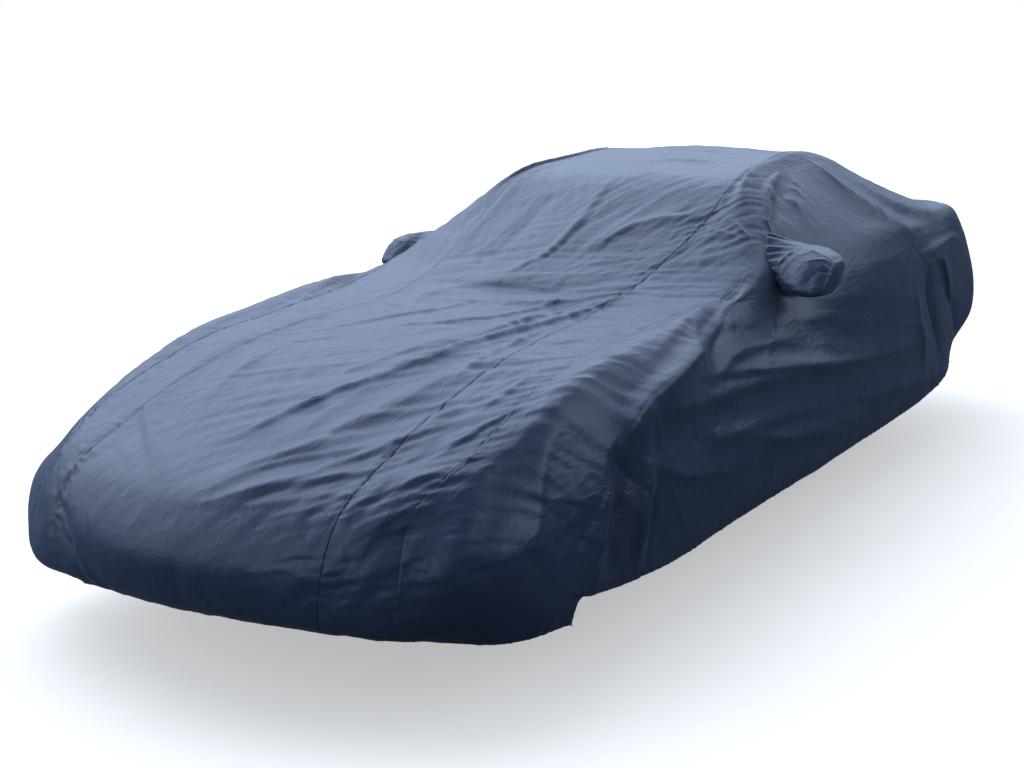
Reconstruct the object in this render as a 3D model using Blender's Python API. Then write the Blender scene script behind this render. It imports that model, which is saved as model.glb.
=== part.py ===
"""A fitted car cover: a hollow shell of sewn cloth panels in the shape of a low two-door coupe.

Metres, +Z up. The nose points to -Y and the cover's left side is +X. The origin is on the
underside of the roof, at its highest point, which is where the cover hangs on what it covers.
"""

import bmesh
import bpy
import numpy as np

# Driving sizes
CLOTH = 0.0025  # thickness of the cloth
GAP = 0.0003  # between neighbouring panels along a seam
CELL = 0.070  # length of the quads that the cloth is built from
CENTRE_CELLS, STRIP_CELLS, SIDE_CELLS = 12, 3, 9  # quads across each panel
CREASE_DEGREES = 50  # edges that turn more than this are left crisp
CROWN_STATION = 11.7  # where the roof is highest
MIRROR_REACH = 0.965  # half width over the two mirror pockets

# The cover's form, measured from the middle of its length (y) and from the ground (top, z).
# Each row is one girth line from the centre to the left hem; the right side mirrors it.
# back is how far a line lies behind the girth line's own y. skew turns the nose a little.
STATION_COLUMNS = (
    "name", "y", "top", "skew", "inner_x", "outer_x", "outer_back", "outer_z",
    "shoulder_x", "shoulder_back", "shoulder_z", "belt_x", "belt_back", "belt_z",
    "hem_x", "hem_back", "hem_z",
)
STATIONS = (
    ("nose_hem", -2.11, 0.220, 0.120, 0.400, 0.580, 0.125, 0.200,
     0.730, 0.180, 0.195, 0.840, 0.260, 0.200, 0.885, 0.400, 0.200),
    ("nose_under", -2.18, 0.285, 0.085, 0.450, 0.625, 0.115, 0.260,
     0.780, 0.230, 0.290, 0.868, 0.390, 0.280, 0.892, 0.520, 0.260),
    ("nose_front", -2.21, 0.400, 0.050, 0.480, 0.650, 0.165, 0.410,
     0.805, 0.280, 0.425, 0.873, 0.480, 0.390, 0.897, 0.640, 0.255),
    ("nose_lip", -2.125, 0.530, 0.030, 0.480, 0.640, 0.165, 0.550,
     0.795, 0.325, 0.540, 0.885, 0.590, 0.450, 0.905, 0.685, 0.240),
    ("bonnet_front", -1.88, 0.640, 0.015, 0.480, 0.675, 0.125, 0.650,
     0.780, 0.265, 0.660, 0.895, 0.520, 0.480, 0.910, 0.660, 0.220),
    ("bonnet_middle", -1.50, 0.750, 0.0, 0.465, 0.660, 0.070, 0.760,
     0.775, 0.170, 0.770, 0.900, 0.350, 0.500, 0.910, 0.470, 0.210),
    ("bonnet_back", -1.12, 0.800, 0.0, 0.440, 0.645, 0.055, 0.805,
     0.775, 0.125, 0.810, 0.900, 0.240, 0.510, 0.905, 0.340, 0.210),
    ("cowl", -0.69, 0.840, 0.0, 0.420, 0.675, 0.065, 0.835,
     0.770, 0.110, 0.820, 0.900, 0.160, 0.520, 0.905, 0.230, 0.205),
    ("screen_low", -0.42, 0.925, 0.0, 0.435, 0.730, 0.055, 0.870,
     0.780, 0.080, 0.835, 0.905, 0.100, 0.530, 0.905, 0.150, 0.205),
    ("screen_high", -0.15, 1.050, 0.0, 0.470, 0.665, 0.075, 1.000,
     0.780, 0.065, 0.850, 0.905, 0.080, 0.530, 0.905, 0.110, 0.200),
    ("roof_front", 0.145, 1.180, 0.0, 0.470, 0.540, 0.050, 1.155,
     0.800, 0.045, 0.885, 0.905, 0.050, 0.530, 0.905, 0.070, 0.200),
    ("roof_middle", 0.50, 1.220, 0.0, 0.430, 0.500, 0.025, 1.200,
     0.810, -0.010, 0.920, 0.905, -0.010, 0.530, 0.905, 0.000, 0.200),
    ("roof_back", 0.885, 1.250, 0.0, 0.425, 0.525, 0.040, 1.195,
     0.805, -0.030, 0.930, 0.905, -0.030, 0.530, 0.905, -0.020, 0.200),
    ("rear_glass", 1.205, 1.145, 0.0, 0.480, 0.615, 0.020, 1.080,
     0.795, -0.060, 0.910, 0.900, -0.110, 0.540, 0.905, -0.110, 0.205),
    ("deck", 1.62, 0.985, 0.0, 0.500, 0.670, -0.005, 0.975,
     0.785, -0.120, 0.900, 0.885, -0.230, 0.550, 0.905, -0.220, 0.240),
    ("tail_top", 2.06, 0.900, 0.0, 0.500, 0.670, -0.060, 0.895,
     0.770, -0.140, 0.875, 0.865, -0.320, 0.555, 0.880, -0.550, 0.285),
    ("tail_back", 2.21, 0.755, 0.0, 0.485, 0.655, -0.080, 0.735,
     0.780, -0.170, 0.710, 0.870, -0.340, 0.490, 0.855, -0.650, 0.320),
    ("tail_low", 2.20, 0.540, 0.0, 0.460, 0.650, -0.080, 0.530,
     0.770, -0.180, 0.520, 0.830, -0.305, 0.435, 0.825, -0.510, 0.360),
    ("tail_hem", 2.12, 0.380, 0.0, 0.440, 0.615, -0.080, 0.380,
     0.710, -0.140, 0.380, 0.760, -0.210, 0.375, 0.790, -0.300, 0.375),
)
LAST_STATION = len(STATIONS) - 1
CROWN_POWER = 2.2  # how fast the top falls from the centre to the outer seam

# Lengthwise lines, numbered from the centre out: left is positive, right is negative.
CENTRE, INNER_SEAM, OUTER_SEAM, SHOULDER, BELT, HEM = range(6)
GIRTH_SPACING = (0.0, 0.38, 0.60, 0.80, 1.10, 1.40)  # of those lines, along a girth line

FRAME_STEP = 0.02  # the step, in station or line numbers, that the cloth's slopes are read over
FRAME_MARGIN = 0.09  # how far inside the hem they are read

# The main folds: each runs through three places, given as (station, line) numbers.
FOLD_COLUMNS = (
    "name", "station_a", "line_a", "station_b", "line_b", "station_c", "line_c",
    "height", "half_width",
)
FOLDS = (
    ("bonnet_sweep_high", 7.30, 1.05, 6.25, 0.55, 4.85, 0.05, 0.010, 0.036),
    ("bonnet_sweep_upper", 6.40, 1.00, 5.35, 0.50, 4.20, 0.30, 0.012, 0.036),
    ("bonnet_sweep_middle", 5.80, 1.00, 4.25, 0.55, 3.25, 0.15, 0.014, 0.038),
    ("bonnet_sweep_low", 4.80, 1.25, 3.70, 0.70, 3.20, 0.20, 0.011, 0.034),
    ("bonnet_far", 7.95, 0.60, 7.10, -0.60, 5.80, -0.65, 0.009, 0.045),
    ("bonnet_far_low", 6.60, -0.80, 5.20, -1.20, 4.00, -0.90, 0.009, 0.045),
    ("strip_pull", 3.80, 1.75, 3.45, 1.25, 2.80, 1.00, 0.009, 0.035),
    ("cowl_valley", 8.05, 1.10, 7.40, 0.30, 7.25, -0.80, -0.012, 0.055),
    ("screen_arch", 8.35, 0.35, 9.00, 0.55, 9.30, 0.95, 0.014, 0.038),
    ("screen_middle", 10.0, 0.00, 8.40, 0.05, 7.55, -0.20, 0.011, 0.038),
    ("screen_far", 10.6, -0.95, 9.30, -0.90, 7.95, -1.00, 0.009, 0.040),
    ("screen_far_low", 9.60, -0.40, 8.60, -0.45, 7.80, -0.60, -0.010, 0.040),
    ("pleat_front", 10.4, 2.05, 9.87, 2.23, 9.25, 2.30, 0.010, 0.030),
    ("pleat_back", 11.0, 2.07, 10.24, 2.39, 9.95, 2.40, -0.012, 0.030),
    ("quarter_fold", 11.65, 2.10, 11.9, 2.60, 12.9, 2.98, 0.014, 0.036),
    ("quarter_line", 11.9, 2.20, 12.5, 2.42, 13.9, 2.98, -0.011, 0.036),
    ("shoulder_fold_front", 7.50, 2.10, 6.50, 3.10, 5.85, 3.30, 0.018, 0.038),
    ("shoulder_fold_back", 8.05, 2.00, 6.90, 3.15, 6.30, 3.35, -0.018, 0.040),
    ("fender_edge", 7.40, 3.10, 6.10, 3.30, 4.65, 3.60, 0.018, 0.050),
    ("door_line_high", 6.50, 3.25, 7.95, 3.35, 9.25, 3.25, -0.009, 0.040),
    ("door_line_middle", 5.05, 3.55, 6.85, 3.70, 11.7, 4.10, 0.014, 0.045),
    ("door_line_low", 5.70, 4.20, 8.30, 4.45, 13.4, 4.80, 0.011, 0.045),
    ("wheel_fold_back", 4.75, 3.75, 3.90, 4.45, 3.50, 4.90, 0.018, 0.038),
    ("wheel_fold_middle", 4.50, 3.60, 3.35, 4.20, 2.85, 4.90, -0.020, 0.040),
    ("wheel_fold_front", 3.10, 4.00, 2.65, 4.55, 2.15, 4.90, 0.014, 0.038),
    ("rear_wheel_fold", 13.5, 3.45, 13.4, 3.80, 13.7, 4.60, -0.024, 0.045),
    ("rear_wheel_lip", 12.7, 3.60, 12.7, 4.00, 13.0, 4.60, 0.012, 0.040),
    ("tail_corner_fold", 13.9, 3.55, 14.5, 4.10, 14.9, 4.60, -0.020, 0.045),
    ("nose_far_curve", 2.50, -1.05, 1.75, -0.75, 1.05, -0.50, -0.012, 0.038),
    ("nose_corner_pull", 3.60, 2.30, 2.70, 2.60, 1.60, 2.50, 0.009, 0.040),
    ("far_shoulder_fold", 7.60, -2.10, 6.60, -3.10, 5.90, -3.30, 0.015, 0.045),
    ("far_fender_edge", 7.40, -3.10, 6.10, -3.30, 4.65, -3.60, 0.012, 0.050),
    ("far_pleat", 10.6, -2.05, 10.0, -2.25, 9.95, -2.40, 0.010, 0.035),
    ("far_door_line", 5.50, -3.60, 7.20, -3.80, 11.9, -4.05, 0.012, 0.050),
    ("far_door_line_low", 6.20, -4.30, 8.60, -4.40, 12.6, -4.70, 0.010, 0.045),
    ("far_wheel_fold", 4.60, -3.70, 3.70, -4.35, 3.20, -4.90, -0.018, 0.045),
    ("far_rear_wheel_fold", 13.4, -3.45, 13.5, -3.90, 13.9, -4.60, -0.020, 0.045),
    ("rear_glass_fold", 13.2, 0.90, 14.1, 0.35, 15.2, 0.30, 0.010, 0.045),
    ("rear_glass_far_fold", 12.6, -0.90, 13.6, -1.10, 14.8, -0.70, 0.010, 0.045),
    ("tail_pull", 16.2, -1.20, 16.5, 0.10, 16.2, 1.30, -0.010, 0.045),
)
FOLD_PLACES = (0.0, 0.5, 1.0)  # of a fold's three places along its curve
FOLD_STEPS = 33  # points that each fold's curve is measured at
FOLD_FADE_POWER = 0.6  # under 1 keeps a fold high for most of its length
FOLD_END = 0.04  # the share of the curve, at each end, with an even height

# The hole for a mirror pocket, in station and line numbers, and the quads it takes out
HOLE_STATION, HOLE_STATION_HALF = 9.40, 0.45
HOLE_LINE, HOLE_LINE_HALF = 2.69, 0.34
HOLE_CELLS = 3

# The pocket's rings from the panel out to the tip: the ring's centre and its half sizes
POCKET_COLUMNS = ("x", "y", "z", "half_depth", "half_height")
POCKET_RINGS = (
    (0.800, -0.005, 0.913, 0.110, 0.072),
    (0.850, -0.035, 0.906, 0.105, 0.069),
    (0.900, -0.048, 0.897, 0.095, 0.064),
    (0.940, -0.052, 0.890, 0.075, 0.050),
    (0.958, -0.050, 0.886, 0.042, 0.028),
)
RIGHT_SINK = 0.020  # the right pocket hangs this much lower
RIGHT_SQUASH = 0.85  # and is this much flatter
POCKET_SHRINK = 0.995  # its root ring stands this far inside the hole

PANEL_COLOUR = (0.046, 0.058, 0.082, 1.0)
STRIP_COLOUR = (0.050, 0.063, 0.088, 1.0)
POCKET_COLOUR = (0.040, 0.050, 0.070, 1.0)
CLOTH_ROUGHNESS = 0.55


def spline(points, knots, t):
    """A smooth curve through the points: each piece is a cubic whose end slopes are the mean of
    the two neighbouring slopes, weighted so that the nearer one counts more."""
    knots = np.asarray(knots, float)
    shape = (-1,) + (1,) * (points.ndim - 1)
    step = np.diff(knots).reshape(shape)
    slope = np.diff(points, axis=0) / step
    middle = (step[1:] * slope[:-1] + step[:-1] * slope[1:]) / (step[1:] + step[:-1])
    slopes = np.concatenate([slope[:1], middle, slope[-1:]])
    i = np.clip(np.searchsorted(knots, t, side="right") - 1, 0, len(knots) - 2)
    s = ((t - knots[i]) / np.diff(knots)[i]).reshape(shape)
    h = step[i]
    return (
        (2 * s**3 - 3 * s**2 + 1) * points[i]
        + (s**3 - 2 * s**2 + s) * h * slopes[i]
        + (3 * s**2 - 2 * s**3) * points[i + 1]
        + (s**3 - s**2) * h * slopes[i + 1]
    )


def station_points():
    """The places where the girth lines cross the lengthwise lines: (station, line, xyz)."""
    rows = [dict(zip(STATION_COLUMNS, row)) for row in STATIONS]
    column = {key: np.array([row[key] for row in rows]) for key in STATION_COLUMNS[1:]}
    share = (column["inner_x"] / column["outer_x"]) ** CROWN_POWER
    lines = [
        (0 * column["y"], 0 * column["y"], column["top"]),
        (
            column["inner_x"],
            column["outer_back"] * share,
            column["top"] + (column["outer_z"] - column["top"]) * share,
        ),
    ]
    for key in ("outer", "shoulder", "belt", "hem"):
        lines.append((column[key + "_x"], column[key + "_back"], column[key + "_z"]))
    left = np.array([np.column_stack([x, column["y"] + back, z]) for x, back, z in lines])
    right = left[:0:-1] * (-1, 1, 1)
    net = np.concatenate([right, left]).transpose(1, 0, 2)
    net[:, :, 1] += column["skew"][:, None] * net[:, :, 0]
    return net


NET = station_points()
LINE_KNOTS = np.array([-s for s in GIRTH_SPACING[:0:-1]] + list(GIRTH_SPACING))
LINE_NUMBERS = np.arange(-HEM, HEM + 1)
STATION_KNOTS = np.concatenate(
    [[0.0], np.cumsum(np.linalg.norm(np.diff(NET, axis=0), axis=2).mean(axis=1))]
)


def base_surface(station, line):
    """Points of the smooth cover at station and line numbers, which may be fractions."""
    along = np.interp(station, np.arange(LAST_STATION + 1), STATION_KNOTS)
    across = np.interp(line, LINE_NUMBERS, LINE_KNOTS)
    weight_u = spline(np.eye(LAST_STATION + 1), STATION_KNOTS, along)
    weight_v = spline(np.eye(len(LINE_NUMBERS)), LINE_KNOTS, across)
    return np.einsum("nk,nl,klc->nc", weight_u, weight_v, NET)


def base_frame(station, line):
    """Outward normal and the direction across the panels, from small steps on the surface."""
    step = FRAME_STEP
    u = np.clip(station, FRAME_MARGIN, LAST_STATION - FRAME_MARGIN)
    v = np.clip(line, -HEM + FRAME_MARGIN, HEM - FRAME_MARGIN)
    along = base_surface(u + step, v) - base_surface(u - step, v)
    across = base_surface(u, v + step) - base_surface(u, v - step)
    normal = np.cross(across, along)
    normal /= np.linalg.norm(normal, axis=1, keepdims=True)
    across /= np.linalg.norm(across, axis=1, keepdims=True)
    return normal, across


def fold_height(points):
    """Height of all folds at points on the base surface. A fold is a soft ridge (or, below
    zero, a trough) along a curve through its three places, fading out at both ends."""
    height = np.zeros(len(points))
    s = np.linspace(0, 1, FOLD_STEPS)
    for row in FOLDS:
        fold = dict(zip(FOLD_COLUMNS, row))
        stations = np.array([fold["station_a"], fold["station_b"], fold["station_c"]])
        lines = np.array([fold["line_a"], fold["line_b"], fold["line_c"]])
        path = base_surface(spline(stations, FOLD_PLACES, s), spline(lines, FOLD_PLACES, s))
        distance = np.linalg.norm(points[:, None] - path[None], axis=2)
        nearest = distance.argmin(axis=1)
        away = distance[np.arange(len(points)), nearest] / fold["half_width"]
        along = np.clip(s[nearest], FOLD_END, 1 - FOLD_END)
        height += fold["height"] * np.sin(np.pi * along) ** FOLD_FADE_POWER * np.exp(-(away**2))
    return height


def row_stations():
    """Station numbers of the quads' rows: even steps of about CELL, with the hole's own rows."""
    ends = (0, HOLE_STATION - HOLE_STATION_HALF, HOLE_STATION + HOLE_STATION_HALF, LAST_STATION)
    knots = np.interp(ends, np.arange(LAST_STATION + 1), STATION_KNOTS)
    counts = (round((knots[1] - knots[0]) / CELL), HOLE_CELLS, round((knots[3] - knots[2]) / CELL))
    spans = [np.linspace(a, b, n + 1)[:-1] for a, b, n in zip(knots, knots[1:], counts)]
    along = np.append(np.concatenate(spans), knots[-1])
    return np.interp(along, STATION_KNOTS, np.arange(LAST_STATION + 1)), counts[0]


def side_lines():
    """Line numbers of the columns of the left side panel, from the outer seam to the hem."""
    top, bottom = HOLE_LINE - HOLE_LINE_HALF, HOLE_LINE + HOLE_LINE_HALF
    beside_hole = np.linspace(top, bottom, HOLE_CELLS + 1)
    below_hole = np.linspace(bottom, HEM, SIDE_CELLS + 1)[1:]
    return np.concatenate([[OUTER_SEAM], beside_hole, below_hole])


def round_the_hole(station, line, first_row):
    """Moves the grid points round the hole onto an ellipse. Returns the cells to keep and the
    hole's edge as a ring of grid places, with the angle of each."""
    keep = np.ones((station.shape[0] - 1, station.shape[1] - 1), bool)
    keep[first_row:first_row + HOLE_CELLS, 1:1 + HOLE_CELLS] = False
    ring = []
    for a in range(HOLE_CELLS + 1):
        for b in range(HOLE_CELLS + 1):
            if {a, b} & {0, HOLE_CELLS}:
                i, j = first_row + a, 1 + b
                angle = np.arctan2(HOLE_CELLS - 2 * b, 2 * a - HOLE_CELLS)
                station[i, j] = HOLE_STATION + HOLE_STATION_HALF * np.cos(angle)
                line[i, j] = HOLE_LINE - HOLE_LINE_HALF * np.sin(angle)
                ring.append((angle, i, j))
    return keep, sorted(ring)


def cloth_faces(station, line, seam_shift):
    """Outer and inner points of a panel's grid. seam_shift pulls its first and last column
    across the panel, so that neighbours stay GAP apart along a seam."""
    shape = station.shape
    base = base_surface(station.ravel(), line.ravel())
    normal, across = base_frame(station.ravel(), line.ravel())
    shift = np.zeros(shape)
    shift[:, 0], shift[:, -1] = seam_shift
    outer = base + normal * fold_height(base)[:, None] + across * shift.reshape(-1, 1)
    inner = outer - normal * CLOTH
    return outer.reshape(*shape, 3) - ORIGIN, inner.reshape(*shape, 3) - ORIGIN


def make_material(name, colour):
    material = bpy.data.materials.new(name)
    material.use_nodes = True
    shader = material.node_tree.nodes["Principled BSDF"]
    shader.inputs["Base Color"].default_value = colour
    shader.inputs["Roughness"].default_value = CLOTH_ROUGHNESS
    shader.inputs["Metallic"].default_value = 0.0
    return material


def add_sheet(name, outer, inner, keep, colour, tips=()):
    """A sheet of cloth from two matching grids of points. Each quad is split along its outer
    face's shorter diagonal, on both faces alike, and a wall joins the faces at every edge.
    tips, an outer and an inner point, make it a bag: its columns run round and its last row
    closes on them."""
    rows, columns = outer.shape[:2]
    bm = bmesh.new()
    made = {}

    def vertex(side, i, j):
        key = (side, i, j % columns)
        if key not in made:
            made[key] = bm.verts.new((outer, inner)[side][i, j % columns])
        return made[key]

    edges = {}
    for i in range(rows - 1):
        for j in range(columns if tips else columns - 1):
            if not keep[i, j]:
                continue
            corners = [(i, j), (i + 1, j), (i + 1, j + 1), (i, j + 1)]
            spots = [outer[a, b % columns] for a, b in corners]
            if np.linalg.norm(spots[0] - spots[2]) > np.linalg.norm(spots[1] - spots[3]):
                corners = corners[1:] + corners[:1]
            for a, b, c in ((0, 1, 2), (0, 2, 3)):
                bm.faces.new([vertex(0, *corners[k]) for k in (a, b, c)])
                bm.faces.new([vertex(1, *corners[k]) for k in (c, b, a)])
            for start, end in zip(corners, corners[1:] + corners[:1]):
                pair = (start[0], start[1] % columns), (end[0], end[1] % columns)
                edges.setdefault(tuple(sorted(pair)), []).append(pair)
    for side, point in enumerate(tips):
        tip = bm.verts.new(point)
        for j in range(columns):
            bm.faces.new([vertex(side, rows - 1, j), vertex(side, rows - 1, j + 1), tip])
    for uses in edges.values():
        a, b = uses[0]
        at_tip = tips and a[0] == b[0] == rows - 1
        if len(uses) == 1 and not at_tip:
            bm.faces.new([vertex(0, *b), vertex(0, *a), vertex(1, *a)])
            bm.faces.new([vertex(0, *b), vertex(1, *a), vertex(1, *b)])
    bmesh.ops.recalc_face_normals(bm, faces=bm.faces)
    mesh = bpy.data.meshes.new(name)
    bm.to_mesh(mesh)
    bm.free()
    mesh.shade_smooth()
    mesh.set_sharp_from_angle(angle=np.radians(CREASE_DEGREES))
    mesh.materials.append(make_material(name + "_cloth", colour))
    bpy.context.scene.collection.objects.link(bpy.data.objects.new(name, mesh))


def build_top_panels(stations):
    """The centre panel and, beside it, the two narrow strips between the long seams."""
    half = GAP / 2
    panels = (
        ("centre_panel", -INNER_SEAM, INNER_SEAM, CENTRE_CELLS, PANEL_COLOUR),
        ("strip_panel_left", INNER_SEAM, OUTER_SEAM, STRIP_CELLS, STRIP_COLOUR),
        ("strip_panel_right", -OUTER_SEAM, -INNER_SEAM, STRIP_CELLS, STRIP_COLOUR),
    )
    for name, first, last, cells, colour in panels:
        station, line = np.meshgrid(stations, np.linspace(first, last, cells + 1), indexing="ij")
        outer, inner = cloth_faces(station, line, (half, -half))
        add_sheet(name, outer, inner, np.ones((len(stations) - 1, cells), bool), colour)


def build_side(side, sign, stations, first_row):
    """A side panel with its mirror hole, and the pocket sewn round that hole. sign is 1 for
    the left side and -1 for the right one."""
    station, line = np.meshgrid(stations, side_lines(), indexing="ij")
    keep, ring = round_the_hole(station, line, first_row)
    outer, inner = cloth_faces(station, line * sign, (sign * GAP / 2, 0))
    add_sheet("side_panel_" + side, outer, inner, keep, PANEL_COLOUR)
    angles = np.array([angle for angle, i, j in ring])
    root = [np.array([face[i, j] for angle, i, j in ring]) for face in (outer, inner)]
    build_pocket("mirror_pocket_" + side, sign, angles, root)


def build_pocket(name, sign, angles, root):
    """A bag of cloth: rings from the hole's edge out to the mirror's tip, closed by a fan."""
    following = np.append(angles[1:], angles[0] + 2 * np.pi)
    ring_angles = np.column_stack([angles, (angles + following) / 2]).ravel()
    roots = []
    for face in root:
        halfway = (face + np.roll(face, -1, axis=0)) / 2
        both = np.stack([face, halfway], axis=1).reshape(-1, 3)
        roots.append(both.mean(axis=0) + (both - both.mean(axis=0)) * POCKET_SHRINK)
    sink, squash = (0, 1) if sign > 0 else (RIGHT_SINK, RIGHT_SQUASH)
    rings = [roots[0]]
    for row in POCKET_RINGS:
        ring = dict(zip(POCKET_COLUMNS, row))
        y = ring["y"] + ring["half_depth"] * np.cos(ring_angles)
        z = ring["z"] - sink + ring["half_height"] * squash * np.sin(ring_angles)
        x = np.full_like(y, ring["x"] * sign)
        rings.append(np.column_stack([x, y, z]) - ORIGIN)
    outer = np.array(rings)
    around = np.roll(outer, -1, axis=1) - np.roll(outer, 1, axis=1)
    normal = np.cross(around, np.gradient(outer, axis=0)) * sign
    normal /= np.linalg.norm(normal, axis=2, keepdims=True)
    inner = outer - normal * CLOTH
    inner[0] = roots[1]
    keep = np.ones((len(outer) - 1, outer.shape[1]), bool)
    tip = np.array([MIRROR_REACH * sign, ring["y"], ring["z"] - sink]) - ORIGIN
    add_sheet(name, outer, inner, keep, POCKET_COLOUR, (tip, tip - (CLOTH * sign, 0, 0)))


CROWN = base_surface(np.array([CROWN_STATION]), np.array([float(CENTRE)]))[0]
ORIGIN = np.array([0.0, CROWN[1], CROWN[2] - CLOTH])

for old in list(bpy.data.objects):
    bpy.data.objects.remove(old)

STATION_ROWS, HOLE_ROW = row_stations()
build_top_panels(STATION_ROWS)
build_side("left", 1, STATION_ROWS, HOLE_ROW)
build_side("right", -1, STATION_ROWS, HOLE_ROW)
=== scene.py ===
"""The looks of a fitted car cover: sewn panels of dark satin nylon with two mirror pockets.

Metres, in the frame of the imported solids: +Z up, the nose points to -Y, the cover's left side is
+X, and the origin is on the underside of the roof at its highest point.
"""

import bpy
import numpy as np
from mathutils import Matrix, Vector


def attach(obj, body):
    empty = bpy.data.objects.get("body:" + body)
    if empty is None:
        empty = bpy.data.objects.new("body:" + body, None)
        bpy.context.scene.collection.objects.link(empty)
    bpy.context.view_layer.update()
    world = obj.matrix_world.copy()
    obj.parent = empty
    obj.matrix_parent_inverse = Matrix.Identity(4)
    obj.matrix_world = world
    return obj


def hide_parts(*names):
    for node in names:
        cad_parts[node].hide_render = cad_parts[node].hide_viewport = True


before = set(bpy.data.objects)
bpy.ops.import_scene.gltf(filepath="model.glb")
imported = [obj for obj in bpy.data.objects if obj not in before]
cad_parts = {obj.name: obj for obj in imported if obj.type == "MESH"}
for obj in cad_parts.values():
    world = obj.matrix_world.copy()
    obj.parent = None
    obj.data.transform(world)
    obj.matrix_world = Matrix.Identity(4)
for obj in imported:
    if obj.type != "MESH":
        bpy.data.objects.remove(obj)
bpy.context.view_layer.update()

# --- Camera -----------------------------------------------------------------------------------
# Eye height beside the nose's left corner, looking back and a little down over the bonnet. The
# lens and the small roll are the photograph's.
CAMERA_PLACE = (2.612, -5.087, 0.353)
CAMERA_YAW, CAMERA_PITCH, CAMERA_ROLL = np.radians((35.01, 13.39, -1.40))
LENS_MM, FILM_MM = 47.16, 36.0


def add_object(name, data):
    """A new object of the scene round the data of a camera, a light or a mesh."""
    thing = bpy.data.objects.new(name, data)
    bpy.context.scene.collection.objects.link(thing)
    return thing


camera_data = bpy.data.cameras.new("photo_camera")
camera_data.lens = LENS_MM
camera_data.sensor_width = FILM_MM
camera = add_object("photo_camera", camera_data)
camera.matrix_world = (
    Matrix.Translation(CAMERA_PLACE)
    @ Matrix.Rotation(CAMERA_YAW, 4, "Z")
    @ Matrix.Rotation(np.pi / 2 - CAMERA_PITCH, 4, "X")
    @ Matrix.Rotation(CAMERA_ROLL, 4, "Z")
)
bpy.context.scene.camera = camera

# --- Centre panel -----------------------------------------------------------------------------
# The wide panel from the nose hem over the bonnet, the windscreen and the roof to the tail hem.
# Satin woven nylon about 0.3 mm thick, cut from one length and lap-sewn over the strip panels.

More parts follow.
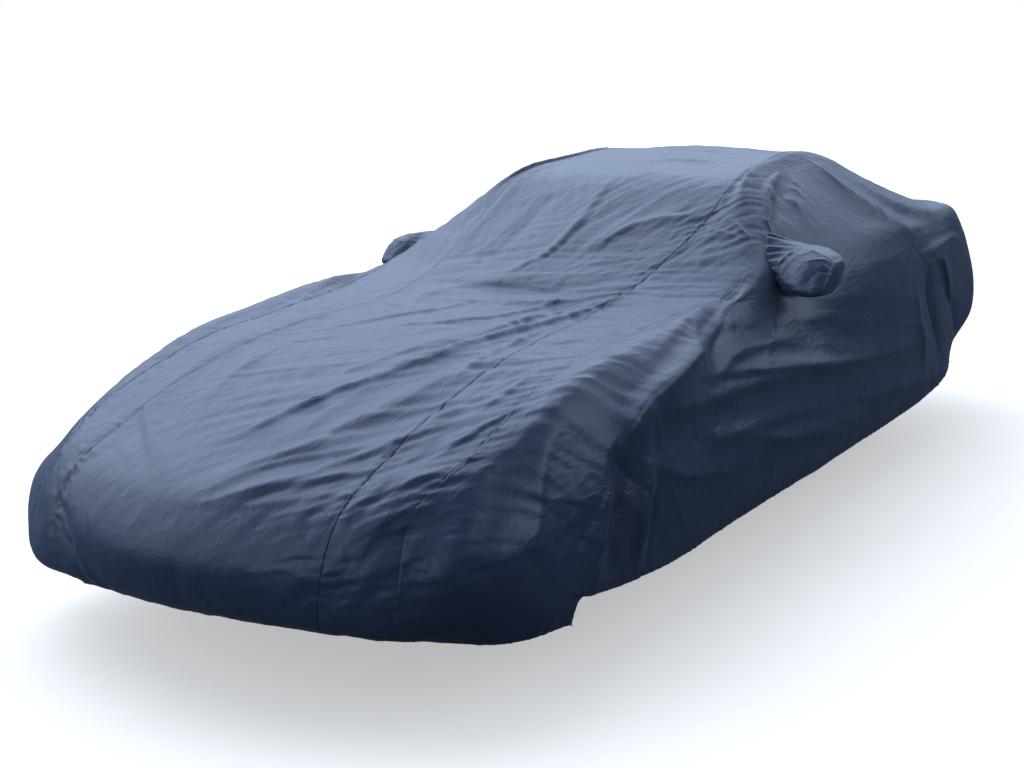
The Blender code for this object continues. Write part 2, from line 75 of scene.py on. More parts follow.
# The form of the whole cover, measured from the middle of its length and from the ground. Each
# row is one girth line from the centre to the left hem; the right side mirrors it. back is how
# far a line lies behind the girth line's own y. skew turns the nose a little.
STATION_COLUMNS = (
    "name", "y", "top", "skew", "inner_x", "outer_x", "outer_back", "outer_z",
    "shoulder_x", "shoulder_back", "shoulder_z", "belt_x", "belt_back", "belt_z",
    "hem_x", "hem_back", "hem_z",
)
STATIONS = (
    ("nose_hem", -2.11, 0.220, 0.120, 0.400, 0.580, 0.125, 0.200,
     0.730, 0.180, 0.195, 0.840, 0.260, 0.200, 0.885, 0.400, 0.200),
    ("nose_under", -2.18, 0.285, 0.085, 0.450, 0.625, 0.115, 0.260,
     0.780, 0.230, 0.290, 0.868, 0.390, 0.280, 0.892, 0.520, 0.260),
    ("nose_front", -2.21, 0.400, 0.050, 0.480, 0.650, 0.165, 0.410,
     0.805, 0.280, 0.425, 0.873, 0.480, 0.390, 0.897, 0.640, 0.255),
    ("nose_lip", -2.125, 0.530, 0.030, 0.480, 0.640, 0.165, 0.550,
     0.795, 0.325, 0.540, 0.885, 0.590, 0.450, 0.905, 0.685, 0.240),
    ("bonnet_front", -1.88, 0.640, 0.015, 0.480, 0.675, 0.125, 0.650,
     0.780, 0.265, 0.660, 0.895, 0.520, 0.480, 0.910, 0.660, 0.220),
    ("bonnet_middle", -1.50, 0.750, 0.0, 0.465, 0.660, 0.070, 0.760,
     0.775, 0.170, 0.770, 0.900, 0.350, 0.500, 0.910, 0.470, 0.210),
    ("bonnet_back", -1.12, 0.800, 0.0, 0.440, 0.645, 0.055, 0.805,
     0.775, 0.125, 0.810, 0.900, 0.240, 0.510, 0.905, 0.340, 0.210),
    ("cowl", -0.69, 0.840, 0.0, 0.420, 0.675, 0.065, 0.835,
     0.770, 0.110, 0.820, 0.900, 0.160, 0.520, 0.905, 0.230, 0.205),
    ("screen_low", -0.42, 0.925, 0.0, 0.435, 0.730, 0.055, 0.870,
     0.780, 0.080, 0.835, 0.905, 0.100, 0.530, 0.905, 0.150, 0.205),
    ("screen_high", -0.15, 1.050, 0.0, 0.470, 0.665, 0.075, 1.000,
     0.780, 0.065, 0.850, 0.905, 0.080, 0.530, 0.905, 0.110, 0.200),
    ("roof_front", 0.145, 1.180, 0.0, 0.470, 0.540, 0.050, 1.155,
     0.800, 0.045, 0.885, 0.905, 0.050, 0.530, 0.905, 0.070, 0.200),
    ("roof_middle", 0.50, 1.220, 0.0, 0.430, 0.500, 0.025, 1.200,
     0.810, -0.010, 0.920, 0.905, -0.010, 0.530, 0.905, 0.000, 0.200),
    ("roof_back", 0.885, 1.250, 0.0, 0.425, 0.525, 0.040, 1.195,
     0.805, -0.030, 0.930, 0.905, -0.030, 0.530, 0.905, -0.020, 0.200),
    ("rear_glass", 1.205, 1.145, 0.0, 0.480, 0.615, 0.020, 1.080,
     0.795, -0.060, 0.910, 0.900, -0.110, 0.540, 0.905, -0.110, 0.205),
    ("deck", 1.62, 0.985, 0.0, 0.500, 0.670, -0.005, 0.975,
     0.785, -0.120, 0.900, 0.885, -0.230, 0.550, 0.905, -0.220, 0.240),
    ("tail_top", 2.06, 0.900, 0.0, 0.500, 0.670, -0.060, 0.895,
     0.770, -0.140, 0.875, 0.865, -0.320, 0.555, 0.880, -0.550, 0.285),
    ("tail_back", 2.21, 0.755, 0.0, 0.485, 0.655, -0.080, 0.735,
     0.780, -0.170, 0.710, 0.870, -0.340, 0.490, 0.855, -0.650, 0.320),
    ("tail_low", 2.20, 0.540, 0.0, 0.460, 0.650, -0.080, 0.530,
     0.770, -0.180, 0.520, 0.830, -0.305, 0.435, 0.825, -0.510, 0.360),
    ("tail_hem", 2.12, 0.380, 0.0, 0.440, 0.615, -0.080, 0.380,
     0.710, -0.140, 0.380, 0.760, -0.210, 0.375, 0.790, -0.300, 0.375),
)
LAST_STATION = len(STATIONS) - 1
TOP_FALL_POWER = 2.2  # how fast the top falls from the centre to the outer seam
ROOF_STATION = 11.7  # where the roof is highest
SOLID_CLOTH = 0.0025  # thickness of the solids' cloth, which the origin lies under

# Lengthwise lines, numbered from the centre out: left is positive, right is negative.
CENTRE, INNER_SEAM, OUTER_SEAM, SHOULDER, BELT, HEM = range(6)
LINE_NAMES = ("centre", "inner", "outer", "shoulder", "belt", "hem")
GIRTH_SPACING = (0.0, 0.38, 0.60, 0.80, 1.10, 1.40)  # of those lines, along a girth line
TINY = 1e-12


def lengths(vectors):
    """Lengths of the vectors along the last axis."""
    return np.linalg.norm(vectors, axis=-1)


def unit(vectors):
    """The vectors along the last axis, each made one long."""
    return vectors / np.maximum(np.linalg.norm(vectors, axis=-1, keepdims=True), TINY)


def spline(points, knots, t):
    """A smooth curve through the points: each piece is a cubic whose end slopes are the mean of
    the two neighbouring slopes, weighted so that the nearer one counts more."""
    knots = np.asarray(knots, float)
    shape = (-1,) + (1,) * (points.ndim - 1)
    step = np.diff(knots).reshape(shape)
    slope = np.diff(points, axis=0) / step
    middle = (step[1:] * slope[:-1] + step[:-1] * slope[1:]) / (step[1:] + step[:-1])
    slopes = np.concatenate([slope[:1], middle, slope[-1:]])
    i = np.clip(np.searchsorted(knots, t, side="right") - 1, 0, len(knots) - 2)
    s = ((t - knots[i]) / np.diff(knots)[i]).reshape(shape)
    h = step[i]
    return (
        (2 * s**3 - 3 * s**2 + 1) * points[i]
        + (s**3 - 2 * s**2 + s) * h * slopes[i]
        + (3 * s**2 - 2 * s**3) * points[i + 1]
        + (s**3 - s**2) * h * slopes[i + 1]
    )


def station_points():
    """The places where the girth lines cross the lengthwise lines: (station, line, xyz). Between
    the centre and the outer seam the cover falls with a power of the distance from the centre."""
    values = np.array([row[1:] for row in STATIONS]).T
    column = dict(zip(STATION_COLUMNS[1:], values))
    share = (column["inner_x"] / column["outer_x"]) ** TOP_FALL_POWER
    column["inner_back"] = column["outer_back"] * share
    column["inner_z"] = column["top"] + (column["outer_z"] - column["top"]) * share
    column["centre_x"] = column["centre_back"] = 0 * column["y"]
    column["centre_z"] = column["top"]
    left = np.array(
        [
            np.column_stack(
                [column[name + "_x"], column["y"] + column[name + "_back"], column[name + "_z"]]
            )
            for name in LINE_NAMES
        ]
    )
    right = left[:0:-1] * (-1, 1, 1)
    net = np.concatenate([right, left]).transpose(1, 0, 2)
    net[:, :, 1] += column["skew"][:, None] * net[:, :, 0]
    return net


NET = station_points()
STATION_NUMBERS = np.arange(LAST_STATION + 1)
LINE_NUMBERS = np.arange(-HEM, HEM + 1)
STATION_KNOTS = np.concatenate([[0.0], np.cumsum(lengths(np.diff(NET, axis=0)).mean(axis=1))])
LINE_KNOTS = np.array([-s for s in GIRTH_SPACING[:0:-1]] + list(GIRTH_SPACING))


def along_cover(station):
    """Distance in metres from the nose hem along the cover's mean lengthwise line."""
    return np.interp(station, STATION_NUMBERS, STATION_KNOTS)


def stations_at(run):
    """Station numbers at distances from the nose hem: along_cover the other way round."""
    return np.interp(run, STATION_KNOTS, STATION_NUMBERS)


def across_cover(line):
    """Distance from the centre line, in the spacing of the lengthwise lines."""
    return np.interp(line, LINE_NUMBERS, LINE_KNOTS)


def smooth_cover(station, line):
    """Points of the cover without folds, at station and line numbers that may be fractions:
    a spline along each lengthwise line, and then one across the lines."""
    weight_u = spline(np.eye(LAST_STATION + 1), STATION_KNOTS, along_cover(station))
    weight_v = spline(np.eye(len(LINE_NUMBERS)), LINE_KNOTS, across_cover(line))
    on_lines = (weight_u @ NET.reshape(LAST_STATION + 1, -1)).reshape(len(station), -1, 3)
    return np.einsum("nl,nlc->nc", weight_v, on_lines)


ROOF_TOP = smooth_cover(np.array([ROOF_STATION]), np.array([float(CENTRE)]))[0]
ORIGIN = np.array([0.0, ROOF_TOP[1], ROOF_TOP[2] - SOLID_CLOTH])

SLOPE_STEP = 0.02  # the step, in station or line numbers, that the cloth's slopes are read over
SLOPE_MARGIN = 0.09  # how far inside the hem they are read


def cover_axes(station, line):
    """Unit vectors of the smooth cover: along it to the tail, across it to the left, and out."""
    step = SLOPE_STEP
    u = np.clip(station, SLOPE_MARGIN, LAST_STATION - SLOPE_MARGIN)
    v = np.clip(line, -HEM + SLOPE_MARGIN, HEM - SLOPE_MARGIN)
    along = smooth_cover(u + step, v) - smooth_cover(u - step, v)
    across = smooth_cover(u, v + step) - smooth_cover(u, v - step)
    return unit(along), unit(across), unit(np.cross(across, along))


# The main folds, which the solids have too. Each runs through three places, given as (station,
# line) numbers. Height and half width are in millimetres; below zero a fold is a trough.
FOLD_COLUMNS = (
    "name", "station_a", "line_a", "station_b", "line_b", "station_c", "line_c",
    "height", "half_width",
)
FOLDS = (
    ("bonnet_sweep_high", 7.30, 1.05, 6.25, 0.55, 4.85, 0.05, 10, 36),
    ("bonnet_sweep_upper", 6.40, 1.00, 5.35, 0.50, 4.20, 0.30, 12, 36),
    ("bonnet_sweep_middle", 5.80, 1.00, 4.25, 0.55, 3.25, 0.15, 14, 38),
    ("bonnet_sweep_low", 4.80, 1.25, 3.70, 0.70, 3.20, 0.20, 11, 34),
    ("bonnet_far", 7.95, 0.60, 7.10, -0.60, 5.80, -0.65, 9, 45),
    ("bonnet_far_low", 6.60, -0.80, 5.20, -1.20, 4.00, -0.90, 9, 45),
    ("strip_pull", 3.80, 1.75, 3.45, 1.25, 2.80, 1.00, 9, 35),
    ("cowl_valley", 8.05, 1.10, 7.40, 0.30, 7.25, -0.80, -12, 55),
    ("screen_arch", 8.35, 0.35, 9.00, 0.55, 9.30, 0.95, 14, 38),
    ("screen_middle", 10.0, 0.00, 8.40, 0.05, 7.55, -0.20, 11, 38),
    ("screen_far", 10.6, -0.95, 9.30, -0.90, 7.95, -1.00, 9, 40),
    ("screen_far_low", 9.60, -0.40, 8.60, -0.45, 7.80, -0.60, -10, 40),
    ("pleat_front", 10.4, 2.05, 9.87, 2.23, 9.25, 2.30, 10, 30),
    ("pleat_back", 11.0, 2.07, 10.24, 2.39, 9.95, 2.40, -12, 30),
    ("quarter_fold", 11.65, 2.10, 11.9, 2.60, 12.9, 2.98, 14, 36),
    ("quarter_line", 11.9, 2.20, 12.5, 2.42, 13.9, 2.98, -11, 36),
    ("shoulder_fold_front", 7.50, 2.10, 6.50, 3.10, 5.85, 3.30, 18, 38),
    ("shoulder_fold_back", 8.05, 2.00, 6.90, 3.15, 6.30, 3.35, -18, 40),
    ("fender_edge", 7.40, 3.10, 6.10, 3.30, 4.65, 3.60, 18, 50),
    ("door_line_high", 6.50, 3.25, 7.95, 3.35, 9.25, 3.25, -9, 40),
    ("door_line_middle", 5.05, 3.55, 6.85, 3.70, 11.7, 4.10, 14, 45),
    ("door_line_low", 5.70, 4.20, 8.30, 4.45, 13.4, 4.80, 11, 45),
    ("wheel_fold_back", 4.75, 3.75, 3.90, 4.45, 3.50, 4.90, 18, 38),
    ("wheel_fold_middle", 4.50, 3.60, 3.35, 4.20, 2.85, 4.90, -20, 40),
    ("wheel_fold_front", 3.10, 4.00, 2.65, 4.55, 2.15, 4.90, 14, 38),
    ("rear_wheel_fold", 13.5, 3.45, 13.4, 3.80, 13.7, 4.60, -24, 45),
    ("rear_wheel_lip", 12.7, 3.60, 12.7, 4.00, 13.0, 4.60, 12, 40),
    ("tail_corner_fold", 13.9, 3.55, 14.5, 4.10, 14.9, 4.60, -20, 45),
    ("nose_far_curve", 2.50, -1.05, 1.75, -0.75, 1.05, -0.50, -12, 38),
    ("nose_corner_pull", 3.60, 2.30, 2.70, 2.60, 1.60, 2.50, 9, 40),
    ("far_shoulder_fold", 7.60, -2.10, 6.60, -3.10, 5.90, -3.30, 15, 45),
    ("far_fender_edge", 7.40, -3.10, 6.10, -3.30, 4.65, -3.60, 12, 50),
    ("far_pleat", 10.6, -2.05, 10.0, -2.25, 9.95, -2.40, 10, 35),
    ("far_door_line", 5.50, -3.60, 7.20, -3.80, 11.9, -4.05, 12, 50),
    ("far_door_line_low", 6.20, -4.30, 8.60, -4.40, 12.6, -4.70, 10, 45),
    ("far_wheel_fold", 4.60, -3.70, 3.70, -4.35, 3.20, -4.90, -18, 45),
    ("far_rear_wheel_fold", 13.4, -3.45, 13.5, -3.90, 13.9, -4.60, -20, 45),
    ("rear_glass_fold", 13.2, 0.90, 14.1, 0.35, 15.2, 0.30, 10, 45),
    ("rear_glass_far_fold", 12.6, -0.90, 13.6, -1.10, 14.8, -0.70, 10, 45),
    ("tail_pull", 16.2, -1.20, 16.5, 0.10, 16.2, 1.30, -10, 45),
)

# Creases too fine for the solids. lean makes one flank steeper: above zero it is the flank on
# the left of the way from a to c, seen from outside.
CREASE_COLUMNS = FOLD_COLUMNS + ("lean",)
CREASES = (
    ("drag_upper_a", 6.30, 0.75, 5.15, 0.45, 4.50, 0.15, 10, 22, 0.7),
    ("drag_upper_b", 5.10, 0.45, 4.50, 0.15, 4.05, 0.00, 8, 18, 0.6),
    ("drag_middle", 4.20, 1.00, 3.80, 0.50, 3.20, 0.15, 10, 18, 0.7),
    ("drag_low", 3.75, 1.15, 3.55, 0.75, 3.00, 0.15, 9, 17, 0.7),
    ("drag_fine_a", 4.15, 0.70, 3.75, 0.35, 3.20, 0.10, 6, 16, 0.6),
    ("drag_fine_b", 3.90, 0.80, 3.50, 0.55, 3.15, 0.25, 6, 16, -0.6),
    ("drag_fine_c", 3.35, 0.85, 3.10, 0.45, 3.05, 0.15, 4, 16, 0.6),
    ("drag_ridge", 4.90, 0.30, 4.45, 0.15, 4.05, 0.00, 6, 16, 0.6),
    ("drag_short", 4.15, 0.70, 4.20, 0.55, 4.20, 0.43, 4, 14, 0.5),
    ("sweep_long", 7.20, 1.03, 6.20, 0.72, 4.90, 0.32, 15, 21, 0.65),
    ("sweep_twin", 6.95, 0.74, 6.35, 0.62, 5.55, 0.36, 7, 13, 0.6),
    ("sweep_a", 7.30, 1.05, 6.25, 0.55, 4.85, 0.05, 5, 16, 0.6),
    ("sweep_b", 7.20, 0.80, 6.44, 0.18, 6.00, -0.30, 8, 15, 0.6),
    ("sweep_c", 6.95, -0.10, 6.35, -0.40, 5.80, -0.65, 8, 20, 0.6),
    ("sweep_d", 5.50, 0.75, 4.80, 0.75, 4.40, 0.65, 6, 20, -0.6),
    ("sweep_e", 5.45, -0.65, 4.80, -0.65, 4.20, -0.50, 4, 24, 0.5),
    ("sweep_f", 6.60, 0.95, 5.60, 0.85, 4.90, 0.90, 8, 18, 0.6),
    ("sweep_g", 7.60, 1.10, 7.00, 0.65, 6.90, -0.35, 9, 18, 0.6),
    ("far_nose_a", 4.00, -0.98, 3.65, -0.63, 3.35, -0.38, -8, 18, 0.6),
    ("far_nose_b", 4.05, -0.92, 3.65, -0.48, 3.25, -0.14, 6, 16, 0.6),
    ("far_nose_c", 3.45, -0.80, 3.35, -0.65, 3.20, -0.50, -4, 16, 0.4),
    ("far_nose_d", 4.15, -1.05, 4.00, -0.75, 3.90, -0.52, 4, 16, 0.5),
    ("far_face_a", 2.45, -1.08, 2.10, -0.80, 1.35, -0.72, -12, 20, 0.6),
    ("far_face_b", 2.50, -1.06, 1.50, -0.70, 0.45, -0.58, 9, 20, -0.6),
    ("face_pleat_a", 2.00, 0.14, 1.55, 0.16, 1.10, 0.14, -5, 10, 0.5),
    ("face_pleat_b", 1.90, 0.23, 1.50, 0.27, 1.25, 0.30, 4, 10, 0.5),
    ("face_drag", 2.20, 0.70, 2.12, 0.85, 2.05, 1.00, 4, 10, 0.5),
    ("strip_drag_a", 3.25, 2.05, 2.95, 1.75, 2.55, 1.20, 8, 18, 0.6),
    ("strip_drag_b", 3.75, 2.20, 3.65, 1.80, 3.30, 1.45, 9, 20, 0.6),
    ("strip_drag_c", 4.65, 2.10, 4.40, 1.80, 4.05, 1.55, 8, 18, 0.6),
    ("strip_drag_d", 5.40, 1.70, 4.90, 1.65, 4.50, 1.50, 6, 20, 0.6),
    ("arch_edge", 8.15, 0.42, 8.95, 0.50, 9.30, 0.90, 4, 14, -0.7),
    ("pillar_fan_a", 9.75, 0.85, 9.20, 1.55, 8.97, 1.94, 6, 11, 0.6),
    ("pillar_fan_b", 9.35, 1.25, 9.08, 1.65, 8.97, 1.94, 5, 10, -0.6),
    ("pillar_fan_c", 9.10, 0.90, 9.00, 1.40, 8.93, 1.94, 6, 11, 0.6),
    ("base_edge_a", 7.35, -0.95, 7.50, 0.80, 8.05, 1.03, -6, 16, 0.6),
    ("base_edge_b", 6.90, -0.35, 7.00, 0.65, 7.65, 1.10, 8, 24, 0.6),
    ("screen_line_a", 10.0, 0.00, 8.40, 0.05, 7.55, -0.20, 3, 10, 0.7),
    ("screen_line_b", 10.1, 0.05, 8.50, 0.12, 7.60, -0.10, -5, 11, 0.7),
    ("screen_line_c", 9.60, -0.48, 8.60, -0.60, 7.75, -0.75, 3, 12, 0.6),
    ("screen_line_d", 9.75, 0.55, 8.95, 0.40, 8.10, 0.30, 5, 15, 0.6),
    ("screen_line_e", 9.95, 0.30, 9.10, 0.07, 7.80, 0.00, 4, 14, -0.6),
    ("roof_edge", 9.50, 1.02, 11.0, 1.04, 12.9, 1.02, 15, 55, -0.6),
    ("far_roof_edge", 9.50, -1.02, 11.0, -1.04, 12.9, -1.02, 17, 60, 0.6),
    ("roof_line", 10.6, -0.42, 11.0, 0.17, 10.8, 0.84, -6, 28, 0.4),
    ("shoulder_a", 7.70, 2.03, 6.45, 2.95, 5.30, 3.25, 12, 24, 0.7),
    ("shoulder_b", 8.20, 2.05, 6.90, 3.00, 5.70, 3.30, -8, 20, 0.6),
    ("shoulder_c", 8.30, 2.30, 6.80, 3.20, 5.75, 3.36, 11, 24, 0.7),
    ("wing_edge_a", 6.60, 3.30, 5.10, 3.42, 4.20, 3.66, 50, 85, -0.7),
    ("wing_edge_front", 4.95, 3.42, 4.10, 3.60, 2.60, 4.40, 30, 70, 0.4),
    ("wing_edge_b", 5.80, 3.43, 7.45, 3.68, 10.5, 4.02, 16, 42, -0.7),
    ("door_a", 6.45, 3.53, 7.10, 3.45, 8.70, 3.55, 13, 36, -0.7),
    ("door_b", 5.20, 3.60, 6.10, 3.68, 10.5, 4.02, 13, 36, -0.7),
    ("door_c", 6.05, 3.96, 6.60, 4.06, 10.5, 4.44, 11, 34, -0.6),
    ("door_d", 6.05, 4.00, 7.60, 4.37, 10.5, 4.78, 11, 34, -0.6),
    ("door_e", 4.70, 3.88, 5.45, 4.22, 6.90, 4.49, 13, 36, -0.6),
    ("wheel_a", 4.90, 3.67, 4.40, 4.02, 3.30, 4.88, 14, 34, 0.6),
    ("wheel_b", 4.35, 3.92, 3.75, 4.43, 3.50, 4.81, 9, 26, -0.5),
    ("wheel_c", 4.40, 3.80, 3.35, 4.20, 1.60, 4.95, -10, 36, 0.4),
    ("wheel_d", 3.00, 4.17, 2.50, 4.54, 1.40, 4.95, 14, 29, 0.6),
    ("wheel_e", 4.83, 3.96, 4.23, 4.42, 3.72, 4.93, -10, 31, 0.6),
    ("low_band", 5.50, 4.84, 7.20, 4.86, 10.2, 4.89, 11, 42, -0.5),
    ("side_fine", 5.50, 4.16, 5.45, 4.43, 5.05, 4.54, 5, 11, 0.6),
    ("pleat_a", 10.85, 2.06, 9.95, 2.20, 9.10, 2.27, 16, 14, -0.6),
    ("pleat_b", 10.9, 2.14, 10.1, 2.32, 9.20, 2.32, -8, 9, 0.0),
    ("pleat_c", 11.1, 2.20, 10.3, 2.46, 9.35, 2.40, 16, 16, -0.6),
    ("pleat_d", 11.0, 2.35, 10.4, 2.66, 9.80, 2.80, 8, 18, 0.6),
    ("pocket_hollow", 8.85, 3.04, 9.15, 3.14, 9.55, 3.18, -20, 22, 0.3),
    ("pocket_pull", 8.70, 3.10, 8.20, 3.40, 7.60, 3.62, 6, 16, 0.5),
    ("quarter_a", 11.65, 2.10, 11.85, 2.60, 12.9, 2.98, 14, 26, 0.7),
    ("quarter_b", 11.85, 2.12, 12.0, 2.40, 12.25, 2.58, 7, 21, 0.6),
    ("quarter_c", 11.85, 2.20, 12.6, 2.44, 14.35, 2.77, 13, 26, -0.7),
    ("quarter_d", 11.1, 2.89, 12.2, 2.96, 13.7, 3.00, 11, 29, 0.6),
    ("tail_a", 13.1, 3.32, 14.3, 3.33, 14.85, 3.41, 11, 29, 0.6),
    ("tail_b", 13.2, 3.54, 14.0, 3.50, 14.55, 4.18, 16, 29, -0.7),
    ("hairline", 9.80, 3.48, 11.2, 3.73, 13.5, 4.16, 4, 8, 0.4),
    ("long_line", 7.00, 3.55, 10.5, 4.02, 12.95, 4.22, 11, 34, -0.6),
    ("low_rear_band", 10.5, 4.47, 11.95, 4.61, 14.5, 4.94, 13, 36, -0.6),
    ("nose_side_a", 4.05, 2.40, 2.90, 2.67, 1.70, 2.75, 9, 36, 0.5),
    ("nose_side_b", 4.40, 3.05, 3.50, 3.19, 2.05, 3.61, 11, 39, 0.5),
    ("nose_side_c", 4.55, 3.27, 3.80, 3.40, 2.45, 3.88, -4, 30, 0.4),
    ("nose_side_d", 2.30, 2.12, 2.00, 2.61, 1.40, 3.25, 7, 31, 0.5),
    # the right side and the tail, which the photograph doesn't show
    ("far_shoulder_a", 7.40, -2.10, 6.30, -3.15, 5.70, -3.40, 16, 36, -0.6),
    ("far_wing_edge", 5.80, -3.40, 7.60, -3.70, 10.8, -4.00, 14, 42, 0.6),
    ("far_door_a", 6.20, -3.95, 7.00, -4.10, 10.2, -4.50, 11, 34, 0.6),
    ("far_door_b", 5.40, -4.30, 7.80, -4.50, 11.5, -4.85, 11, 36, 0.6),
    ("far_wheel_a", 4.80, -3.70, 4.30, -4.10, 3.30, -4.85, 18, 34, -0.6),
    ("far_wheel_b", 4.40, -3.60, 3.40, -4.05, 1.40, -4.90, -16, 36, -0.6),
    ("far_pleat_a", 10.7, -2.05, 10.0, -2.30, 9.30, -2.35, 3, 11, -0.6),
    ("far_quarter_a", 11.8, -2.30, 11.9, -2.60, 13.0, -3.00, 8, 26, -0.6),
    ("far_quarter_b", 11.9, -2.20, 12.7, -2.45, 14.2, -2.80, 11, 26, 0.6),
    ("far_tail_a", 13.3, -3.50, 14.0, -3.60, 14.6, -4.20, 14, 29, 0.6),
    ("rear_a", 13.2, 0.90, 14.1, 0.35, 15.2, 0.30, 9, 22, 0.6),
    ("rear_b", 12.6, -0.90, 13.6, -1.10, 14.8, -0.70, 9, 22, 0.6),
    ("rear_c", 15.4, -0.95, 16.3, -0.30, 16.9, 0.40, -9, 22, 0.6),
    ("rear_d", 15.6, 0.90, 16.3, 0.50, 17.2, 0.80, 9, 20, 0.6),
    ("rear_e", 16.2, -2.00, 16.5, -1.30, 17.2, -0.90, 9, 20, 0.6),
)
MILLIMETRE = 0.001
FOLD_PLACES = (0.0, 0.5, 1.0)  # where a fold's three places lie on its way
FOLD_STEPS = 41
FOLD_END, FOLD_FADE_POWER = 0.02, 0.6  # the fade stops this share of the way before its ends
FOLD_REACH = 4.0  # how many half widths a fold reaches sideways
TENT_ROUND = 0.12  # how round a crease's crest is, in half widths
MAIN_FOLD_TENT = 0.7  # the main folds are this much tent and the rest bell
# Over this length folds stray from their line by this much, and rise and sink by this share.
WANDER_SIZE, WANDER, WANDER_SEEDS = 0.20, 0.004, (11, 12, 13)
SWELL_SIZE, SWELL, SWELL_SEED = 0.20, 0.28, 14
NOISE_DIRECTIONS, NOISE_GAIN = 256, 1.7
HALF_CELL = 0.5  # half way between the planes of the noise's lattice


def smooth_noise(points, seed):
    """Gradient noise, about -1 to 1: each corner of a unit lattice has a random direction, and a
    point's value is the smoothly weighted mean of its eight corners' directions, each dotted
    with the way from that corner to the point."""
    rng = np.random.default_rng(seed)
    directions = unit(rng.normal(size=(NOISE_DIRECTIONS, 3)))
    shuffle = rng.permutation(NOISE_DIRECTIONS)
    cell = np.floor(points).astype(int)
    within = points - cell
    fade = within**3 * (within * (within * 6 - 15) + 10)
    value = np.zeros(len(points))
    for corner in np.ndindex(2, 2, 2):
        at = (cell + corner) % NOISE_DIRECTIONS
        pick = shuffle[(shuffle[at[:, 0]] + at[:, 1]) % NOISE_DIRECTIONS]
        pick = shuffle[(pick + at[:, 2]) % NOISE_DIRECTIONS]
        weight = np.prod(np.where(corner, fade, 1 - fade), axis=1)
        value += weight * np.einsum("nc,nc->n", directions[pick], within - corner)
    return value * NOISE_GAIN


def nearest_on_path(spots, path):
    """The number of the path point nearest to each spot, the offset of the spot from the path,
    and the share of the path up to there. Only the two pieces beside that point are tried."""
    share = np.linspace(0, 1, len(path))
    nearest = ((path**2).sum(axis=1) - 2 * spots @ path.T).argmin(axis=1)
    start = spots - path[nearest]
    offset, way = start, share[nearest]
    for neighbour in (-1, 1):
        other = np.clip(nearest + neighbour, 0, len(path) - 1)
        piece = path[other] - path[nearest]
        length_squared = np.maximum((piece**2).sum(axis=1), TINY)
        part = np.clip((start * piece).sum(axis=1) / length_squared, 0, 1)
        closer = start - piece * part[:, None]
        better = (closer**2).sum(axis=1) < (offset**2).sum(axis=1)
        offset = np.where(better[:, None], closer, offset)
        way = np.where(better, share[nearest] + part * (share[other] - share[nearest]), way)
    return nearest, offset, way


def fold_height(points, out):
    """Height of all folds and creases at points of the smooth cover, whose outward directions
    are out. Each is a ridge, or below zero a trough, along a smooth curve through its three
    places. With x the distance in half widths, a crease's section is a round-topped tent,
    exp(r - sqrt(x^2 + r^2)), and a main fold's is part tent and part bell, exp(-x^2). Both fade
    at their ends with a power of the sine of the way. Noise makes them stray and swell."""
    height = np.zeros(len(points))
    wander = [smooth_noise(points / WANDER_SIZE, seed) for seed in WANDER_SEEDS]
    strayed = points + WANDER * np.column_stack(wander)
    swell = 1 + SWELL * smooth_noise(points / SWELL_SIZE, SWELL_SEED)
    for row in FOLDS + CREASES:
        fold = dict(zip(CREASE_COLUMNS, row))
        places = np.array([[fold["station_" + end], fold["line_" + end]] for end in "abc"])
        path = smooth_cover(*spline(places, FOLD_PLACES, np.linspace(0, 1, FOLD_STEPS)).T)
        half_width = fold["half_width"] * MILLIMETRE
        reach = FOLD_REACH * half_width
        inside = (strayed > path.min(axis=0) - reach) & (strayed < path.max(axis=0) + reach)
        near = np.flatnonzero(inside.all(axis=1))
        nearest, offset, way = nearest_on_path(strayed[near], path)
        tangent = unit(np.gradient(path, axis=0))
        side = np.sign((np.cross(out[near], tangent[nearest]) * offset).sum(axis=1))
        away = lengths(offset) / half_width / (1 - fold.get("lean", 0) * side)
        tent = np.exp(TENT_ROUND - np.sqrt(away**2 + TENT_ROUND**2))
        tent *= np.exp(-((away / FOLD_REACH) ** 4))
        bell = np.exp(-(away**2))
        section = bell + (tent - bell) * (1 if "lean" in fold else MAIN_FOLD_TENT)
        fade = np.sin(np.pi * np.clip(way, FOLD_END, 1 - FOLD_END)) ** FOLD_FADE_POWER
        height[near] += fold["height"] * MILLIMETRE * fade * section * swell[near]
    return height


